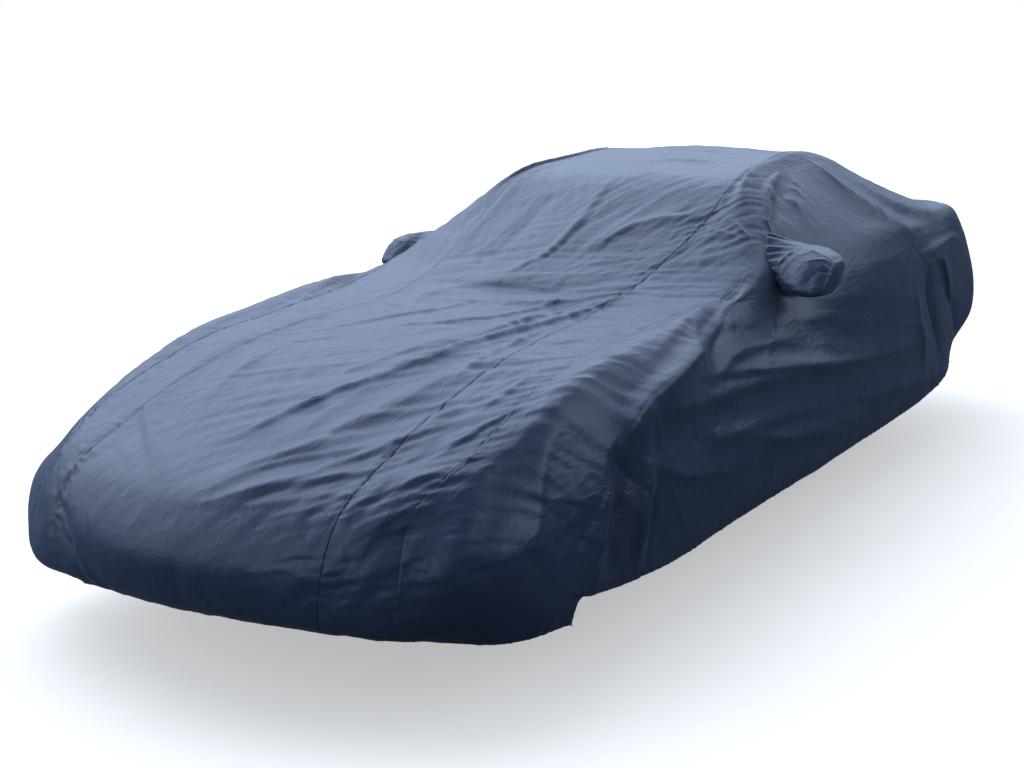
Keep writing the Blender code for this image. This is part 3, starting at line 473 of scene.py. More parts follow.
# Patches of fine drag wrinkles. heading is the way they run, in degrees from "to the tail" round
# to "to the left"; reach, length and spacing are metres, height is millimetres.
WRINKLE_COLUMNS = ("name", "station", "line", "reach", "heading", "length", "spacing", "height")
WRINKLES = (
    ("bonnet_near", 5.00, 0.60, 0.60, 50, 0.60, 0.066, 5.2),
    ("bonnet_nose", 3.60, 0.60, 0.40, 55, 0.55, 0.060, 2.6),
    ("bonnet_far", 5.60, -0.90, 0.60, -25, 0.49, 0.085, 2.6),
    ("cowl", 7.40, 0.20, 0.50, 76, 0.70, 0.045, 4.8),
    ("screen_near", 9.20, 0.60, 0.40, 20, 0.50, 0.046, 3.4),
    ("screen_far", 9.00, -0.80, 0.50, -20, 0.60, 0.050, 3.4),
    ("pillar", 9.30, 1.50, 0.25, 55, 0.28, 0.037, 4.4),
    ("roof", 11.0, 0.00, 0.60, 85, 0.70, 0.119, 2.8),
    ("strip_drags", 5.60, 1.40, 0.45, 50, 0.45, 0.040, 2.8),
    ("strip_drags_low", 4.10, 1.45, 0.42, 50, 0.42, 0.036, 3.2),
    ("strip_nose", 2.40, 1.50, 0.32, 80, 0.20, 0.026, 4.6),
    ("wing_drags", 4.70, 2.40, 0.45, 42, 0.50, 0.055, 1.3),
    ("cowl_near", 7.30, 1.20, 0.40, 65, 0.45, 0.036, 3.4),
    ("bonnet_fine", 4.60, 0.50, 0.50, 52, 0.40, 0.030, 1.2),
    ("bonnet_far_fine", 5.60, -0.70, 0.60, 50, 0.34, 0.032, 2.4),
    ("screen_fine", 9.00, 0.00, 0.60, 15, 0.22, 0.028, 1.6),
    ("shoulder", 6.80, 2.60, 0.40, 50, 0.60, 0.060, 0.6),
    ("wing_top", 5.60, 2.70, 0.45, 40, 0.60, 0.055, 1.6),
    ("door_front", 7.60, 3.90, 0.70, 12, 0.90, 0.085, 4.5),
    ("door_back", 10.6, 3.90, 0.70, 6, 0.90, 0.085, 4.0),
    ("front_wheel", 3.90, 4.20, 0.45, 75, 0.60, 0.100, 2.0),
    ("rear_wheel", 13.6, 4.10, 0.30, 60, 0.42, 0.076, 2.5),
    ("quarter", 12.6, 2.60, 0.40, 18, 0.90, 0.050, 1.8),
    ("nose_low", 1.60, 0.80, 0.50, 60, 0.50, 0.070, 1.6),
    ("nose_side", 2.40, 2.60, 0.45, 30, 0.60, 0.070, 2.4),
    ("nose_far", 2.60, -1.60, 0.45, 10, 0.42, 0.068, 1.8),
    ("tail", 16.2, 0.00, 0.70, 85, 0.56, 0.093, 4.4),
    ("deck", 14.2, 0.00, 0.60, 10, 0.49, 0.093, 3.9),
    ("far_door_front", 7.60, -3.90, 0.70, -8, 0.70, 0.085, 5.5),
    ("far_door_back", 10.6, -3.90, 0.70, -8, 0.70, 0.085, 5.5),
    ("far_front_wheel", 3.90, -4.20, 0.45, -75, 0.42, 0.071, 5.5),
    ("far_rear_wheel", 13.6, -4.10, 0.45, -80, 0.42, 0.076, 5.5),
    ("far_shoulder", 6.80, -2.60, 0.45, -35, 0.35, 0.061, 4.4),
    ("far_pillar", 9.30, -1.50, 0.30, -55, 0.28, 0.044, 2.0),
    ("far_quarter", 12.6, -2.60, 0.40, -25, 0.49, 0.061, 4.4),
)
PATCH_EDGE = 1.6  # where a patch has died out, in its own reaches
BEND, BEND_SEED = 0.9, 60  # how far a patch's wrinkles bend, in their own spacings
RUMPLES = ((0.180, 2.5), (0.075, 0.9), (0.030, 0.15))  # metres across, millimetres high
RUMPLE_GRAIN = np.array([1, 0.4, 1])  # rumples are longer along the cover
RUMPLE_SEED = 100
CREASED_SHARE = 0.72  # the share of a wrinkle that is a sharp crease and not a soft wave


def valleys(noise):
    """Twice the distance of noise from zero, less a half: soft humps between sharp valleys."""
    return 2 * np.abs(noise) - 0.5


def creased(noise):
    """Turns noise into cloth: part soft wave, and part sharp crest where the noise passes
    zero."""
    return (1 - CREASED_SHARE) * noise - CREASED_SHARE * valleys(noise)


def wrinkle_height(points):
    """Height of the fine wrinkles: in each patch, noise stretched along the patch's heading and
    creased, and everywhere a little even rumple."""
    height = np.zeros(len(points))
    for seed, row in enumerate(WRINKLES):
        patch = dict(zip(WRINKLE_COLUMNS, row))
        place = np.array([patch["station"]]), np.array([patch["line"]])
        along, across, out = [axis[0] for axis in cover_axes(*place)]
        turn = np.radians(patch["heading"])
        run = along * np.cos(turn) + across * np.sin(turn)
        offset = points - smooth_cover(*place)[0]
        distance = lengths(offset) / patch["reach"]
        near = np.flatnonzero(distance < PATCH_EDGE)
        offset = offset[near]
        length, spacing = patch["length"], patch["spacing"]
        u = offset @ run / length
        v = offset @ np.cross(out, run) / spacing
        v += BEND * smooth_noise(offset / length, BEND_SEED + seed)
        noise = creased(smooth_noise(np.column_stack([u, v, offset @ out / length]), seed))
        height[near] += patch["height"] * MILLIMETRE * noise * np.exp(-distance[near] ** 4)
    for seed, (size, rise) in enumerate(RUMPLES):
        noise = smooth_noise(points * RUMPLE_GRAIN / size, RUMPLE_SEED + seed)
        height += rise * MILLIMETRE * creased(noise)
    return height


# The four long seams, in the order of their line numbers, and the felled band that each has on
# the panel that lies on top, with a row of stitches near both its edges.
SEAM_LINES = (-OUTER_SEAM, -INNER_SEAM, INNER_SEAM, OUTER_SEAM)
SEAM_TOP_SIDE = (-1, 1, -1, 1)  # the side of each seam, by line number, that lies on top
SEAM_REACH, SEAM_REACH_LINES = 0.30, 1.2  # in metres, and in line numbers
BAND_WIDTH, BAND_RISE, BAND_EDGE = 0.0115, 0.0007, 0.0012
BAND_STEEPNESS, LARGEST_POWER = 4, 30
STITCH_ROWS = (0.0025, 0.0095)  # distances from the seam
STITCH_DENT, STITCH_DENT_WIDTH = 0.0007, 0.0014
SEAM_VALLEY, SEAM_VALLEY_WIDTH = 0.0011, 0.0016
PUCKER_PITCH, PUCKER_LENGTH, PUCKER_REACH, PUCKER_HEIGHT = 0.024, 0.070, 0.032, 0.0023
PUCKER_MEAN, PUCKER_SWING, PUCKER_SWING_SIZE = 0.9, 1.3, 0.30  # how their strength varies
NOSE_PUCKER, NOSE_PUCKER_PLACE, NOSE_PUCKER_REACH = 2.2, 0.42, 0.36  # stronger on the nose
PUCKER_SEED, PUCKER_SWING_SEED = 200, 210


def seam_height(points, station, line):
    """The long seams: a felled band with two rows of dents on the top panel's side, a narrow
    valley at the panel's edge, and puckers on both sides. The noise of the puckers is short
    along the seam and long across it."""
    height = np.zeros(len(points))
    run = along_cover(station)
    for seed, (seam, top_side) in enumerate(zip(SEAM_LINES, SEAM_TOP_SIDE)):
        on_seam = smooth_cover(station, np.full(len(points), float(seam)))
        away = lengths(points - on_seam)
        near = np.flatnonzero((away < SEAM_REACH) & (np.abs(line - seam) < SEAM_REACH_LINES))
        away, place = away[near], run[near]
        side = np.where(line[near] < seam, -1, 1)
        flat = np.zeros(len(near))
        across = np.column_stack([place / PUCKER_PITCH, side * away / PUCKER_LENGTH, flat])
        pucker = valleys(smooth_noise(across, PUCKER_SEED + seed))
        swing = np.column_stack([place / PUCKER_SWING_SIZE, flat, flat + HALF_CELL])
        nose = (place - NOSE_PUCKER_PLACE) / NOSE_PUCKER_REACH
        strength = PUCKER_MEAN + PUCKER_SWING * smooth_noise(swing, PUCKER_SWING_SEED + seed)
        strength = np.maximum(strength + NOSE_PUCKER * np.exp(-(nose**2)), 0)
        height[near] += PUCKER_HEIGHT * pucker * strength * np.exp(-away / PUCKER_REACH)
        height[near] -= SEAM_VALLEY * np.exp(-((away / SEAM_VALLEY_WIDTH) ** 2))
        power = np.minimum((away - BAND_WIDTH) / BAND_EDGE * BAND_STEEPNESS, LARGEST_POWER)
        band = BAND_RISE / (1 + np.exp(power))
        for stitch_row in STITCH_ROWS:
            dent = (away - stitch_row) / STITCH_DENT_WIDTH
            band -= STITCH_DENT * np.exp(-(dent**2))
        height[near] += np.where(side == top_side, band, 0)
    return height


# The hem: a turned casing with elastic in it, which draws the cloth in and gathers it.
CASING = 0.026
CASING_DENT, CASING_DENT_WIDTH = 0.0012, 0.0020
GATHER_PITCH, GATHER_LENGTH, GATHER_REACH, GATHER_HEIGHT = 0.045, 0.110, 0.035, 0.0026
GATHER_SEED, EDGES_APART = 220, 7.5  # and how far apart the three hems lie in the noise
HEM_DRAW, HEM_DRAW_REACH = 0.005, 0.022


def hem_height(points, station, line):
    """The hem: gathers that die out above it, a dent along the casing's stitches, and the
    elastic's pull inwards, all by the distance from the nearest edge of the cloth."""
    hems = (
        (smooth_cover(station, np.sign(line) * HEM), along_cover(station)),
        (smooth_cover(0 * station, line), across_cover(line)),
        (smooth_cover(0 * station + LAST_STATION, line), across_cover(line)),
    )
    away = np.array([lengths(points - edge) for edge, place in hems])
    nearest = away.argmin(axis=0)
    away = away.min(axis=0)
    place = np.choose(nearest, [place for edge, place in hems])
    gather = np.column_stack([place / GATHER_PITCH, away / GATHER_LENGTH, nearest * EDGES_APART])
    pull = valleys(smooth_noise(gather, GATHER_SEED))
    height = GATHER_HEIGHT * pull * np.exp(-away / GATHER_REACH)
    height -= CASING_DENT * np.exp(-(((away - CASING) / CASING_DENT_WIDTH) ** 2))
    height -= HEM_DRAW * np.exp(-away / HEM_DRAW_REACH)
    return height


def cover_points(station, line, lift=0.0):
    """Points of the folded cloth in the frame of the solids, and its outward direction."""
    base = smooth_cover(station, line)
    along, across, out = cover_axes(station, line)
    height = fold_height(base, out) + wrinkle_height(base)
    height += seam_height(base, station, line) + hem_height(base, station, line)
    return base + out * (height + lift)[:, None] - ORIGIN, out


ROW_STEP = 0.0085  # between the cloth's rows
COLUMN_STEP = 0.0095  # between its columns, away from the seams
COLUMN_STATION, COLUMN_SAMPLES = 7.0, 201  # where its width is measured, and how finely
SEAM_OFFSETS = np.array([0, 1.2, 2.5, 4, 6, 8, 9.5, 11, 13, 16, 20, 26]) * MILLIMETRE


def column_lines(first, last):
    """Line numbers of a panel's columns: close together beside both its edges, then evenly
    spaced."""
    finely = np.linspace(first, last, COLUMN_SAMPLES)
    girth = smooth_cover(np.full(COLUMN_SAMPLES, COLUMN_STATION), finely)
    distance = np.concatenate([[0], np.cumsum(lengths(np.diff(girth, axis=0)))])
    width = distance[-1]
    inner = np.arange(SEAM_OFFSETS[-1], width - SEAM_OFFSETS[-1], COLUMN_STEP)[1:]
    places = np.concatenate([SEAM_OFFSETS, inner, (width - SEAM_OFFSETS)[::-1]])
    return np.interp(places, distance, finely)


def row_stations():
    """Station numbers of the cloth's rows, evenly spaced along the cover."""
    return stations_at(
        np.linspace(0, STATION_KNOTS[-1], round(STATION_KNOTS[-1] / ROW_STEP) + 1)
    )


HEM_RADIUS, HEM_TURN = 0.0012, 0.020  # of the turned edge, and how far it goes back up inside
HEM_ANGLES, HEM_SHARES = (60, 120, 180), (0.5, 1.0)


def turn_under(points, out, last=True):
    """Adds rows that turn the cloth under along its last row (or its first): a half circle
    inwards, x = r (1 - cos a) and y = r sin a, and then straight back up inside."""
    if not last:
        points, out = points[::-1], out[::-1]
    edge, inward = points[-1], -out[-1]
    down = unit(edge - points[-2])
    rows = [
        edge + HEM_RADIUS * (inward * (1 - np.cos(turn)) + down * np.sin(turn))
        for turn in np.radians(HEM_ANGLES)
    ]
    rows += [edge + inward * 2 * HEM_RADIUS - down * HEM_TURN * share for share in HEM_SHARES]
    turned = np.concatenate([points, rows])
    return turned if last else turned[::-1]


def add_mesh(name, points, faces, uv, material):
    """A smooth mesh in the scene. uv has a row for each point."""
    mesh = bpy.data.meshes.new(name)
    mesh.from_pydata(points, [], faces)
    mesh.uv_layers.new(name="cloth").data.foreach_set("uv", uv[faces.ravel()].ravel())
    mesh.shade_smooth()
    mesh.materials.append(material)
    return add_object(name, mesh)


def grid_mesh(name, points, material, keep=None):
    """A mesh of quads from a grid of points, rows by columns by xyz, with a UV map in metres
    along the columns and the rows. keep says which quads stay."""
    rows, columns = points.shape[:2]
    u = np.pad(np.cumsum(lengths(np.diff(points, axis=1)), axis=1), ((0, 0), (1, 0)))
    v = np.pad(np.cumsum(lengths(np.diff(points, axis=0)), axis=0), ((1, 0), (0, 0)))
    u -= u[:, columns // 2, None]
    index = np.arange(rows * columns).reshape(rows, columns)
    corners = [index[:-1, :-1], index[:-1, 1:], index[1:, 1:], index[1:, :-1]]
    quads = np.stack(corners, axis=-1).reshape(-1, 4)
    if keep is not None:
        quads = quads[keep.ravel()]
    used, quads = np.unique(quads, return_inverse=True)
    uv = np.column_stack([u.ravel(), v.ravel()])[used]
    return add_mesh(name, points.reshape(-1, 3)[used], quads.reshape(-1, 4), uv, material)


def feed(tree, node, inputs):
    """Sets a node's inputs, named or numbered, to values or links them to other sockets."""
    for key, source in inputs.items():
        if isinstance(source, bpy.types.NodeSocket):
            tree.links.new(source, node.inputs[key])
        else:
            node.inputs[key].default_value = source


def add_node(tree, kind, inputs, **settings):
    """A new shader node with its settings and inputs."""
    node = tree.nodes.new("ShaderNode" + kind)
    for key, value in settings.items():
        setattr(node, key, value)
    feed(tree, node, inputs)
    return node


def math_node(tree, operation, first, second=0.0):
    """The result of a Math node of two terms; each is a socket or a number."""
    return add_node(tree, "Math", {0: first, 1: second}, operation=operation).outputs[0]


def noise_node(tree, place, scale, detail):
    """A Noise node read at a place, about 0 to 1."""
    inputs = {"Vector": place, "Scale": scale, "Detail": detail}
    return add_node(tree, "TexNoise", inputs).outputs["Fac"]


def node_group(name, inputs, outputs):
    """An empty shader node group with named sockets: the label, the kind and, for an input
    that may stay as it is, the default of each."""
    group = bpy.data.node_groups.new(name, "ShaderNodeTree")
    for way, sockets in (("INPUT", inputs), ("OUTPUT", outputs)):
        for label, kind, *default in sockets:
            socket = group.interface.new_socket(
                name=label, in_out=way, socket_type="NodeSocket" + kind
            )
            if default:
                socket.default_value = default[0]
    return group, group.nodes.new("NodeGroupInput"), group.nodes.new("NodeGroupOutput")


THREADS_PER_METRE = 1500.0
# scale in waves per metre and detail of each noise, and how far its creases go and how strongly
CRINKLE_CREASES = ((16.0, 2.0, 0.10, 1.0), (41.0, 2.0, 0.08, 0.45))
CRINKLE_WAVES, WAVE_SHARE = (55.0, 3.0), 0.10
DRIFT, DUST = (2.5, 3.0), (38.0, 5.0)
LEAST_ROUGHNESS, ROUGHNESS_RANGE = 0.29, 0.14


def plain_weave_group():
    """Height of a plain weave: sin(u) times sin(v), one thread to each half turn."""
    group, start, end = node_group(
        "plain_weave",
        (("Cloth Place", "Vector"), ("Threads per Metre", "Float", THREADS_PER_METRE)),
        (("Height", "Float"),),
    )
    turns = math_node(group, "MULTIPLY", start.outputs["Threads per Metre"], np.pi)
    scale = {0: start.outputs["Cloth Place"], "Scale": turns}
    threads = add_node(group, "VectorMath", scale, operation="SCALE").outputs[0]
    split = add_node(group, "SeparateXYZ", {0: threads}).outputs
    warp, weft = [math_node(group, "SINE", split[axis]) for axis in "XY"]
    feed(group, end, {"Height": math_node(group, "MULTIPLY", warp, weft)})
    return group


def crinkle_group():
    """Height of the fine crinkle left by packing the cloth: soft noise, less the distance of
    two other noises from their middle, cut off, which makes sharp little creases."""
    group, start, end = node_group(
        "crinkle", (("Place", "Vector"), ("Crease Share", "Float", 1.0)), (("Height", "Float"),)
    )
    place = start.outputs["Place"]
    creases = 0.0
    for scale, detail, limit, strength in CRINKLE_CREASES:
        crease = math_node(group, "SUBTRACT", noise_node(group, place, scale, detail), 0.5)
        crease = math_node(group, "MINIMUM", math_node(group, "ABSOLUTE", crease), limit)
        crease = math_node(group, "MULTIPLY", crease, strength)
        creases = math_node(group, "ADD", crease, creases)
    creases = math_node(group, "MULTIPLY", creases, start.outputs["Crease Share"])
    waves = math_node(group, "MULTIPLY", noise_node(group, place, *CRINKLE_WAVES), WAVE_SHARE)
    feed(group, end, {"Height": math_node(group, "SUBTRACT", waves, creases)})
    return group


def cloth_tone_group():
    """The cloth's colour and roughness: a slow drift between two shades of the dye, and a thin
    uneven dust that dulls it."""
    group, start, end = node_group(
        "cloth_tone",
        (
            ("Place", "Vector"),
            ("Deep Shade", "Color", (0.05, 0.07, 0.11, 1)),
            ("Worn Shade", "Color", (0.07, 0.09, 0.13, 1)),
            ("Least Roughness", "Float", LEAST_ROUGHNESS),
        ),
        (("Colour", "Color"), ("Roughness", "Float")),
    )
    drift, dust = [noise_node(group, start.outputs["Place"], *noise) for noise in (DRIFT, DUST)]
    tone = math_node(group, "MULTIPLY", math_node(group, "ADD", drift, dust), 0.5)
    shades = {"A": start.outputs["Deep Shade"], "B": start.outputs["Worn Shade"]}
    mix = add_node(group, "Mix", {"Factor": tone, **shades}, data_type="RGBA")
    rough = math_node(group, "MULTIPLY", tone, ROUGHNESS_RANGE)
    rough = math_node(group, "ADD", rough, start.outputs["Least Roughness"])
    feed(group, end, {"Colour": mix.outputs["Result"], "Roughness": rough})
    return group


PLAIN_WEAVE, CRINKLE, CLOTH_TONE = plain_weave_group(), crinkle_group(), cloth_tone_group()
WEAVE_DEPTH, CRINKLE_DEPTH = 0.000006, 0.0062
GRAIN = (1.0, 0.35, 1.0)  # the crinkle and the dust are longer along the cover
SHEEN = {"Sheen Weight": 0.20, "Sheen Roughness": 0.45, "Sheen Tint": (0.62, 0.80, 1.0, 1)}


def cloth_material(name, deep, worn, crease_share):
    """Satin nylon: its tone, then the crinkle and the weave as bumps, and a soft bluish sheen."""
    material = bpy.data.materials.new(name)
    material.use_nodes = True
    tree = material.node_tree

    def grouped(group, inputs):
        return add_node(tree, "Group", inputs, node_tree=group).outputs

    where = add_node(tree, "TexCoord", {}).outputs
    stretch = {0: where["Object"], 1: GRAIN}
    place = add_node(tree, "VectorMath", stretch, operation="MULTIPLY").outputs[0]
    shades = {"Deep Shade": (*deep, 1), "Worn Shade": (*worn, 1)}
    tone = grouped(CLOTH_TONE, {"Place": place, **shades})
    crinkle = grouped(CRINKLE, {"Place": place, "Crease Share": crease_share})
    weave = grouped(PLAIN_WEAVE, {"Cloth Place": where["UV"]})
    coarse = {"Distance": CRINKLE_DEPTH, "Height": crinkle["Height"]}
    normal = add_node(tree, "Bump", coarse).outputs["Normal"]
    fine = {"Distance": WEAVE_DEPTH, "Height": weave["Height"], "Normal": normal}
    normal = add_node(tree, "Bump", fine).outputs["Normal"]
    looks = {"Base Color": tone["Colour"], "Roughness": tone["Roughness"], "Normal": normal}
    feed(tree, tree.nodes["Principled BSDF"], {**looks, **SHEEN})
    return material


NYLON = cloth_material("navy_nylon", (0.034, 0.050, 0.100), (0.045, 0.067, 0.124), 1.0)


def folded_grid(stations, lines, sign=1):
    """The folded cloth over rows at stations and columns at lines, and its outward directions,
    both as rows by columns by xyz."""
    points, out = cover_points(stations.ravel(), lines.ravel() * sign)
    return points.reshape(*stations.shape, 3), out.reshape(*stations.shape, 3)


def add_panel(name, node, first, last):
    """One panel between two lines, from the nose hem to the tail hem."""
    points, out = folded_grid(
        *np.meshgrid(row_stations(), column_lines(first, last), indexing="ij")
    )
    points = turn_under(turn_under(points, out), out, last=False)
    piece = grid_mesh(name, points, NYLON)
    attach(piece, "root")
    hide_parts(node)


add_panel(
    "centre_panel_cloth", "centre_panel", -INNER_SEAM, INNER_SEAM,
)

# --- Strip panels -----------------------------------------------------------------------------
# The narrow panels between the two long seams on each side, of the same nylon. The centre and
# side panels are sewn over their edges, with two rows of dark thread beside each seam.
for side, first, last in (("left", INNER_SEAM, OUTER_SEAM), ("right", -OUTER_SEAM, -INNER_SEAM)):
    add_panel(
        "strip_cloth_" + side, "strip_panel_" + side, first, last,
    )

STITCH_LENGTH, STITCH_PITCH, STITCH_RADIUS, STITCH_SIDES = 0.0036, 0.0055, 0.00055, 4
STITCH_RISE = 0.3  # of its middle above the cloth, in radii
THREAD = cloth_material("navy_thread", (0.022, 0.032, 0.064), (0.034, 0.048, 0.092), 0.0)


def stitch_row(seam, side, distance):
    """Both ends and the outward direction of one row's stitches, at a distance from a seam."""
    count = int(STATION_KNOTS[-1] / STITCH_PITCH)
    run = (np.arange(1, count) + 0.5) * STITCH_PITCH
    ends = []
    for half in (-STITCH_LENGTH / 2, STITCH_LENGTH / 2):
        station = stations_at(run + half)
        on_seam = np.full(len(station), float(seam))
        beside = smooth_cover(station, on_seam + side * SLOPE_STEP)
        width = lengths(beside - smooth_cover(station, on_seam))
        line = on_seam + side * SLOPE_STEP * distance / width
        points, out = cover_points(station, line, STITCH_RADIUS * STITCH_RISE)
        ends.append(points)
    return (*ends, out)


def add_stitches(name, seams):
    """Double rows of topstitching beside the seams, which are places in SEAM_LINES. Each stitch
    is a closed spindle, a square ring round its middle and a point at each end."""
    rows = [
        stitch_row(SEAM_LINES[i], SEAM_TOP_SIDE[i], distance)
        for i in seams
        for distance in STITCH_ROWS
    ]
    start, end, out = [np.concatenate(parts) for parts in zip(*rows)]
    aside = np.cross(out, unit(end - start))
    turns = np.arange(STITCH_SIDES) * 2 * np.pi / STITCH_SIDES
    middle = (start + end)[:, None] / 2 + STITCH_RADIUS * (
        np.cos(turns)[None, :, None] * out[:, None] + np.sin(turns)[None, :, None] * aside[:, None]
    )
    points = np.concatenate([start[:, None], middle, end[:, None]], axis=1)
    ring = 1 + np.arange(STITCH_SIDES)
    turned = np.roll(ring, -1)
    first = np.column_stack([0 * ring, turned, ring])
    second = np.column_stack([0 * ring + STITCH_SIDES + 1, ring, turned])
    index = np.arange(len(points))[:, None, None] * (STITCH_SIDES + 2)
    faces = (np.concatenate([first, second])[None] + index).reshape(-1, 3)
    points = points.reshape(-1, 3)
    piece = add_mesh(name, points, faces, points[:, :2], THREAD)
    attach(piece, "root")


add_stitches("stitches_left", (2, 3))
add_stitches("stitches_right", (0, 1))

# --- Side panels ------------------------------------------------------------------------------
# The deep panels of the same nylon, from the outer seams down to the side hem. Each has a hole
# for its mirror pocket at the foot of the windscreen pillar.
HOLE_STATION, HOLE_STATION_HALF = 9.22, 0.30
HOLE_LINE, HOLE_LINE_HALF = 2.66, 0.39
HOLE_FADE = 1.6


def round_hole(station, line):
    """Draws the grid round the hole: its square ring becomes the hole's ellipse, and the rings
    outside it turn back to squares. Returns the moved grid and which quads stay."""
    a = (station - HOLE_STATION) / HOLE_STATION_HALF
    b = (line - HOLE_LINE) / HOLE_LINE_HALF
    square = np.maximum(np.abs(a), np.abs(b))
    circle = np.maximum(np.hypot(a, b), TINY)
    blend = np.clip((HOLE_FADE - square) / (HOLE_FADE - 1), 0, 1)
    blend = np.where(square < 1, 0, blend**2 * (3 - 2 * blend))
    pull = 1 + (square / circle - 1) * blend
    middle_a, middle_b = [(edge[:-1, :-1] + edge[1:, 1:]) / 2 for edge in (a, b)]
    keep = np.maximum(np.abs(middle_a), np.abs(middle_b)) > 1
    station = HOLE_STATION + a * pull * HOLE_STATION_HALF
    return station, HOLE_LINE + b * pull * HOLE_LINE_HALF, keep


def with_hole_edges(values, centre, half):
    """Moves the two values nearest to the hole's edges onto them."""
    values = values.copy()
    for edge in (centre - half, centre + half):
        values[np.abs(values - edge).argmin()] = edge
    return values


def add_side(side, sign):
    """One side panel, turned under at its side hem and at both ends."""
    rows = with_hole_edges(row_stations(), HOLE_STATION, HOLE_STATION_HALF)
    columns = with_hole_edges(column_lines(OUTER_SEAM, HEM), HOLE_LINE, HOLE_LINE_HALF)
    station, line, keep = round_hole(*np.meshgrid(rows, columns, indexing="ij"))
    points, out = folded_grid(station, line, sign)
    points = turn_under(points.transpose(1, 0, 2), out.transpose(1, 0, 2)).transpose(1, 0, 2)
    more = points.shape[1] - out.shape[1]
    out = np.concatenate([out, np.repeat(out[:, -1:], more, axis=1)], axis=1)
    points = turn_under(turn_under(points, out), out, last=False)
    more_rows = (points.shape[0] - out.shape[0]) // 2
    keep = np.pad(keep, ((more_rows, more_rows), (0, more)), constant_values=True)
    if sign < 0:
        points, keep = points[:, ::-1], keep[:, ::-1]
    piece = grid_mesh("side_cloth_" + side, points, NYLON, keep)
    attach(piece, "root")
    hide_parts("side_panel_" + side)


add_side("left", 1)
add_side("right", -1)

# --- Mirror pockets ---------------------------------------------------------------------------
# Bags of the same nylon, gathered and sewn on round the holes of the side panels. The right one
# sits a little lower and flatter.
POCKET_COLUMNS = ("x", "y", "z", "half_depth", "half_height", "squareness")
POCKET_RINGS = (
    (0.800, -0.020, 0.908, 0.092, 0.070, 0.75),
    (0.850, -0.035, 0.905, 0.100, 0.069, 0.62),
    (0.900, -0.048, 0.897, 0.095, 0.066, 0.60),
    (0.940, -0.052, 0.890, 0.080, 0.055, 0.60),
    (0.957, -0.050, 0.886, 0.056, 0.038, 0.65),
)
POCKET_TIP = 0.964
RIGHT_SINK, RIGHT_SQUASH = 0.020, 0.85
POCKET_KNOTS = (0, 0.26, 0.46, 0.68, 0.86, 0.95, 1.0)
POCKET_AROUND, POCKET_ALONG = 241, 110
POCKET_GIRTH, POCKET_LENGTH = 0.085, 0.22  # metres to one radian round it, and from root to tip
GATHERS, GATHER_RISE, GATHER_DIE = 17, 0.0042, 0.16
# name, way from the root (0) to the tip (1) and angle round (90 the top, 180 the front) at both
# ends, height and half width in millimetres
POCKET_CREASES = (
    ("top_edge", 0.10, 118, 0.85, 112, 5, 10),
    ("pull_short", 0.03, 195, 0.34, 112, 5, 8),
    ("pull_long", 0.06, 222, 0.60, 104, 6, 10),
    ("pull_low", 0.05, 238, 0.50, 205, -4, 9),
    ("end_fold", 0.52, 160, 0.90, 118, 5, 9),
    ("end_dent", 0.60, 190, 0.92, 160, -4, 12),
    ("low_edge", 0.20, 246, 0.88, 238, 5, 8),
    ("back_pull", 0.08, 20, 0.60, 60, 5, 10),
)
CREASE_END = 0.1  # the fade of a crease stops this share of its way before its ends
ROOT_FADE, TIP_FADE = 0.02, 0.1  # over these shares of the pocket's way all folds die out
POCKET_NOISE = (1.7, 1.7, 2.5)  # radius, twice, and length of the pocket in the noise's cells
GATHER_STRAY, GATHER_STRAY_SEED = 1.8, 301
POCKET_RUMPLE, POCKET_RUMPLE_SCALE, POCKET_RUMPLE_SEED = 0.0022, 1.6, 302
POCKET_LEAN = 0.85  # its top lies this much further back than its foot, per metre of height


def pocket_height(way, angle):
    """Height of the pocket's folds over (way, angle): gathers as the distance of a wavering sine
    from zero, dying out from the root; creases as tents along straight lines; and a rumple."""
    place = np.column_stack([way * POCKET_LENGTH, angle * POCKET_GIRTH])
    round_place = np.column_stack([np.cos(angle), np.sin(angle), way]) * POCKET_NOISE
    phase = angle * GATHERS / 2 + GATHER_STRAY * smooth_noise(round_place, GATHER_STRAY_SEED)
    height = GATHER_RISE * (2 * np.abs(np.sin(phase)) - 1) * np.exp(-way / GATHER_DIE)
    rumple = smooth_noise(round_place * POCKET_RUMPLE_SCALE, POCKET_RUMPLE_SEED)
    height += POCKET_RUMPLE * creased(rumple)
    for name, way_a, turn_a, way_b, turn_b, rise, half_width in POCKET_CREASES:
        start = np.array([way_a * POCKET_LENGTH, np.radians(turn_a) * POCKET_GIRTH])
        run = np.array([way_b * POCKET_LENGTH, np.radians(turn_b) * POCKET_GIRTH]) - start
        share = np.clip((place - start) @ run / (run @ run), 0, 1)
        away = lengths(place - start - share[:, None] * run)
        fade = np.sin(np.pi * (CREASE_END + (1 - 2 * CREASE_END) * share))
        height += rise * MILLIMETRE * (np.exp(-away / (half_width * MILLIMETRE)) * fade)
    return height * np.clip((1 - way) / TIP_FADE, 0, 1) * np.clip(way / ROOT_FADE, 0, 1)


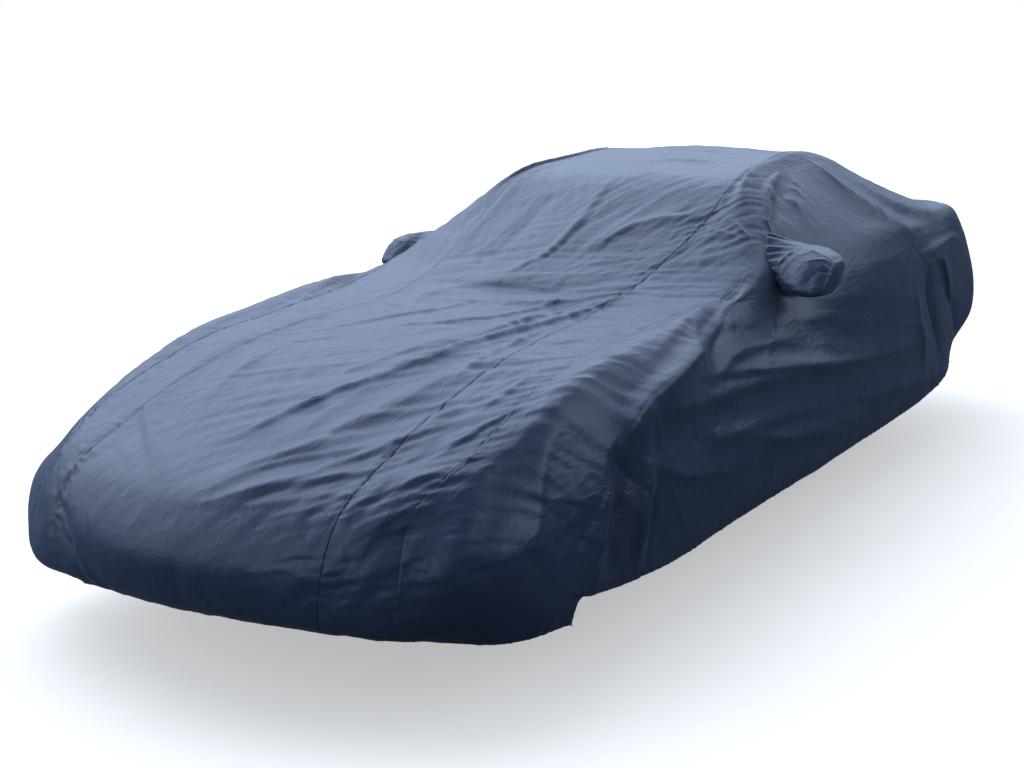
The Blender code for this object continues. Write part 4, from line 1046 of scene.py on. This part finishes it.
def add_pocket(side, sign):
    """A pocket: rounded-square rings, y = half_depth times the squared-up cosine and z =
    half_height times the squared-up sine, joined by a spline from the hole to the tip."""
    angles = np.linspace(0, 2 * np.pi, POCKET_AROUND)
    ways = np.linspace(0, 1, POCKET_ALONG)
    root, _ = cover_points(
        HOLE_STATION + HOLE_STATION_HALF * np.cos(angles),
        sign * (HOLE_LINE - HOLE_LINE_HALF * np.sin(angles)),
        -MILLIMETRE,
    )
    sink, squash = (0, 1) if sign > 0 else (RIGHT_SINK, RIGHT_SQUASH)
    rings = [root]
    for row in POCKET_RINGS:
        ring = dict(zip(POCKET_COLUMNS, row))
        square_cos, square_sin = [
            np.sign(wave) * np.abs(wave) ** ring["squareness"]
            for wave in (np.cos(angles), np.sin(angles))
        ]
        rise = ring["half_height"] * squash * square_sin
        y = ring["y"] + ring["half_depth"] * square_cos + POCKET_LEAN * rise
        z = ring["z"] - sink + rise
        rings.append(np.column_stack([np.full_like(y, ring["x"] * sign), y, z]) - ORIGIN)
    tip = np.array([POCKET_TIP * sign, ring["y"], ring["z"] - sink]) - ORIGIN
    rings.append(np.tile(tip, (len(angles), 1)))
    points = spline(np.array(rings), POCKET_KNOTS, ways)
    around = np.roll(points[:, :-1], -1, axis=1) - np.roll(points[:, :-1], 1, axis=1)
    around = np.concatenate([around, around[:, :1]], axis=1)
    out = unit(np.cross(np.gradient(points, axis=0), around) * -sign)
    way, angle = np.meshgrid(ways, angles, indexing="ij")
    height = pocket_height(way.ravel(), angle.ravel()).reshape(way.shape)
    points = points + out * height[:, :, None]
    points[:, -1] = points[:, 0]
    piece = grid_mesh("pocket_cloth_" + side, points[:, ::-1] if sign > 0 else points, NYLON)
    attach(piece, "root")
    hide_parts("mirror_pocket_" + side)


add_pocket("left", 1)
add_pocket("right", -1)

# --- Floor, backdrop and light ----------------------------------------------------------------
# A pale studio floor and backdrop. The light comes from two broad soft areas beyond the cover,
# two dim ones before it and two soft suns. The floor throws little of it back up.
FLOOR_HALF = 150.0
GROUND = -ORIGIN[2]
FLOOR_SEEN, FLOOR_THROWN = (0.97, 0.90, 0.80, 1), (0.06, 0.06, 0.07, 1)
FLOOR_GLOW = 0.45  # of the floor as the camera sees it, which keeps the shadow pale
WHITE = (1, 1, 1, 1)

floor_mesh = bpy.data.meshes.new("studio_floor")
floor_mesh.from_pydata(
    [(x * FLOOR_HALF, y * FLOOR_HALF, GROUND) for x, y in ((-1, -1), (1, -1), (1, 1), (-1, 1))],
    [],
    [(0, 1, 2, 3)],
)
floor = add_object("studio_floor", floor_mesh)
floor_material = bpy.data.materials.new("pale_floor")
floor_material.use_nodes = True
floor_tree = floor_material.node_tree
seen = add_node(floor_tree, "LightPath", {}).outputs["Is Camera Ray"]
floor_mix = add_node(
    floor_tree, "Mix", {"Factor": seen, "A": FLOOR_THROWN, "B": FLOOR_SEEN}, data_type="RGBA"
)
floor_looks = {
    "Base Color": floor_mix.outputs["Result"],
    "Roughness": 0.9,
    "Specular IOR Level": 0.1,
    "Emission Color": WHITE,
    "Emission Strength": math_node(floor_tree, "MULTIPLY", seen, FLOOR_GLOW),
}
feed(floor_tree, floor_tree.nodes["Principled BSDF"], floor_looks)
floor_mesh.materials.append(floor_material)

# The bright parts of the sky: the way towards the middle of each, the cosines between which it
# fades in, the heights between which it fades in above the horizon, and its strength.
SKY_PARTS = (
    ("back_left", (-0.72, 0.53, 0.45), 0.20, 0.95, 0.00, 0.40, 1.90),
    ("back_right", (0.75, 0.55, 0.37), 0.79, 0.98, 0.12, 0.46, 1.75),
    ("front", (-0.50, -0.85, 0.15), 0.20, 1.00, -0.30, 0.30, 0.16),
    ("front_right", (0.70, -0.62, 0.35), 0.55, 1.00, -0.10, 0.30, 0.15),
)
SKY_DIM = 0.014
SKY_COLOUR = (0.76, 0.90, 1.15, 1)


def smooth_range(tree, value, low, high):
    """A smooth step from 0 at low to 1 at high."""
    inputs = {0: value, 1: low, 2: high, 3: 0.0, 4: 1.0}
    return add_node(tree, "MapRange", inputs, interpolation_type="SMOOTHSTEP").outputs["Result"]


world = bpy.data.worlds.new("studio")
bpy.context.scene.world = world
world.use_nodes = True
sky_tree = world.node_tree
sky_way = add_node(sky_tree, "TexCoord", {}).outputs["Generated"]
sky_height = add_node(sky_tree, "SeparateXYZ", {0: sky_way}).outputs["Z"]
strength = SKY_DIM
for name, way, low, high, foot, head, bright in SKY_PARTS:
    ways = {0: sky_way, 1: Vector(way).normalized()}
    cosine = add_node(sky_tree, "VectorMath", ways, operation="DOT_PRODUCT").outputs["Value"]
    part = smooth_range(sky_tree, cosine, low, high)
    part = math_node(sky_tree, "MULTIPLY", part, smooth_range(sky_tree, sky_height, foot, head))
    part = math_node(sky_tree, "MULTIPLY", part, bright)
    strength = math_node(sky_tree, "ADD", part, strength)
sky = sky_tree.nodes["Background"]
feed(sky_tree, sky, {"Color": SKY_COLOUR, "Strength": strength})
backdrop = add_node(sky_tree, "Background", {"Color": WHITE})
sky_seen = add_node(sky_tree, "LightPath", {}).outputs["Is Camera Ray"]
sky_shaders = {"Fac": sky_seen, 1: sky.outputs[0], 2: backdrop.outputs[0]}
sky_mix = add_node(sky_tree, "MixShader", sky_shaders)
feed(sky_tree, sky_tree.nodes["World Output"], {"Surface": sky_mix.outputs[0]})

SUN_COLOUR = (0.68, 0.82, 1.0)
# name, the way towards it, its spread in degrees, its strength
SOFT_SUNS = (
    ("key_light", (-0.55, 0.10, 0.83), 50, 0.50),
    ("front_light", (-0.42, -0.88, 0.18), 80, 1.15),
)
for name, way, spread, strength in SOFT_SUNS:
    sun_data = bpy.data.lights.new(name, "SUN")
    sun_data.angle = np.radians(spread)
    sun_data.energy = strength
    sun_data.color = SUN_COLOUR
    sun = add_object(name, sun_data)
    sun.rotation_euler = Vector(way).to_track_quat("Z", "Y").to_euler()

bpy.context.scene.view_settings.view_transform = "Standard"
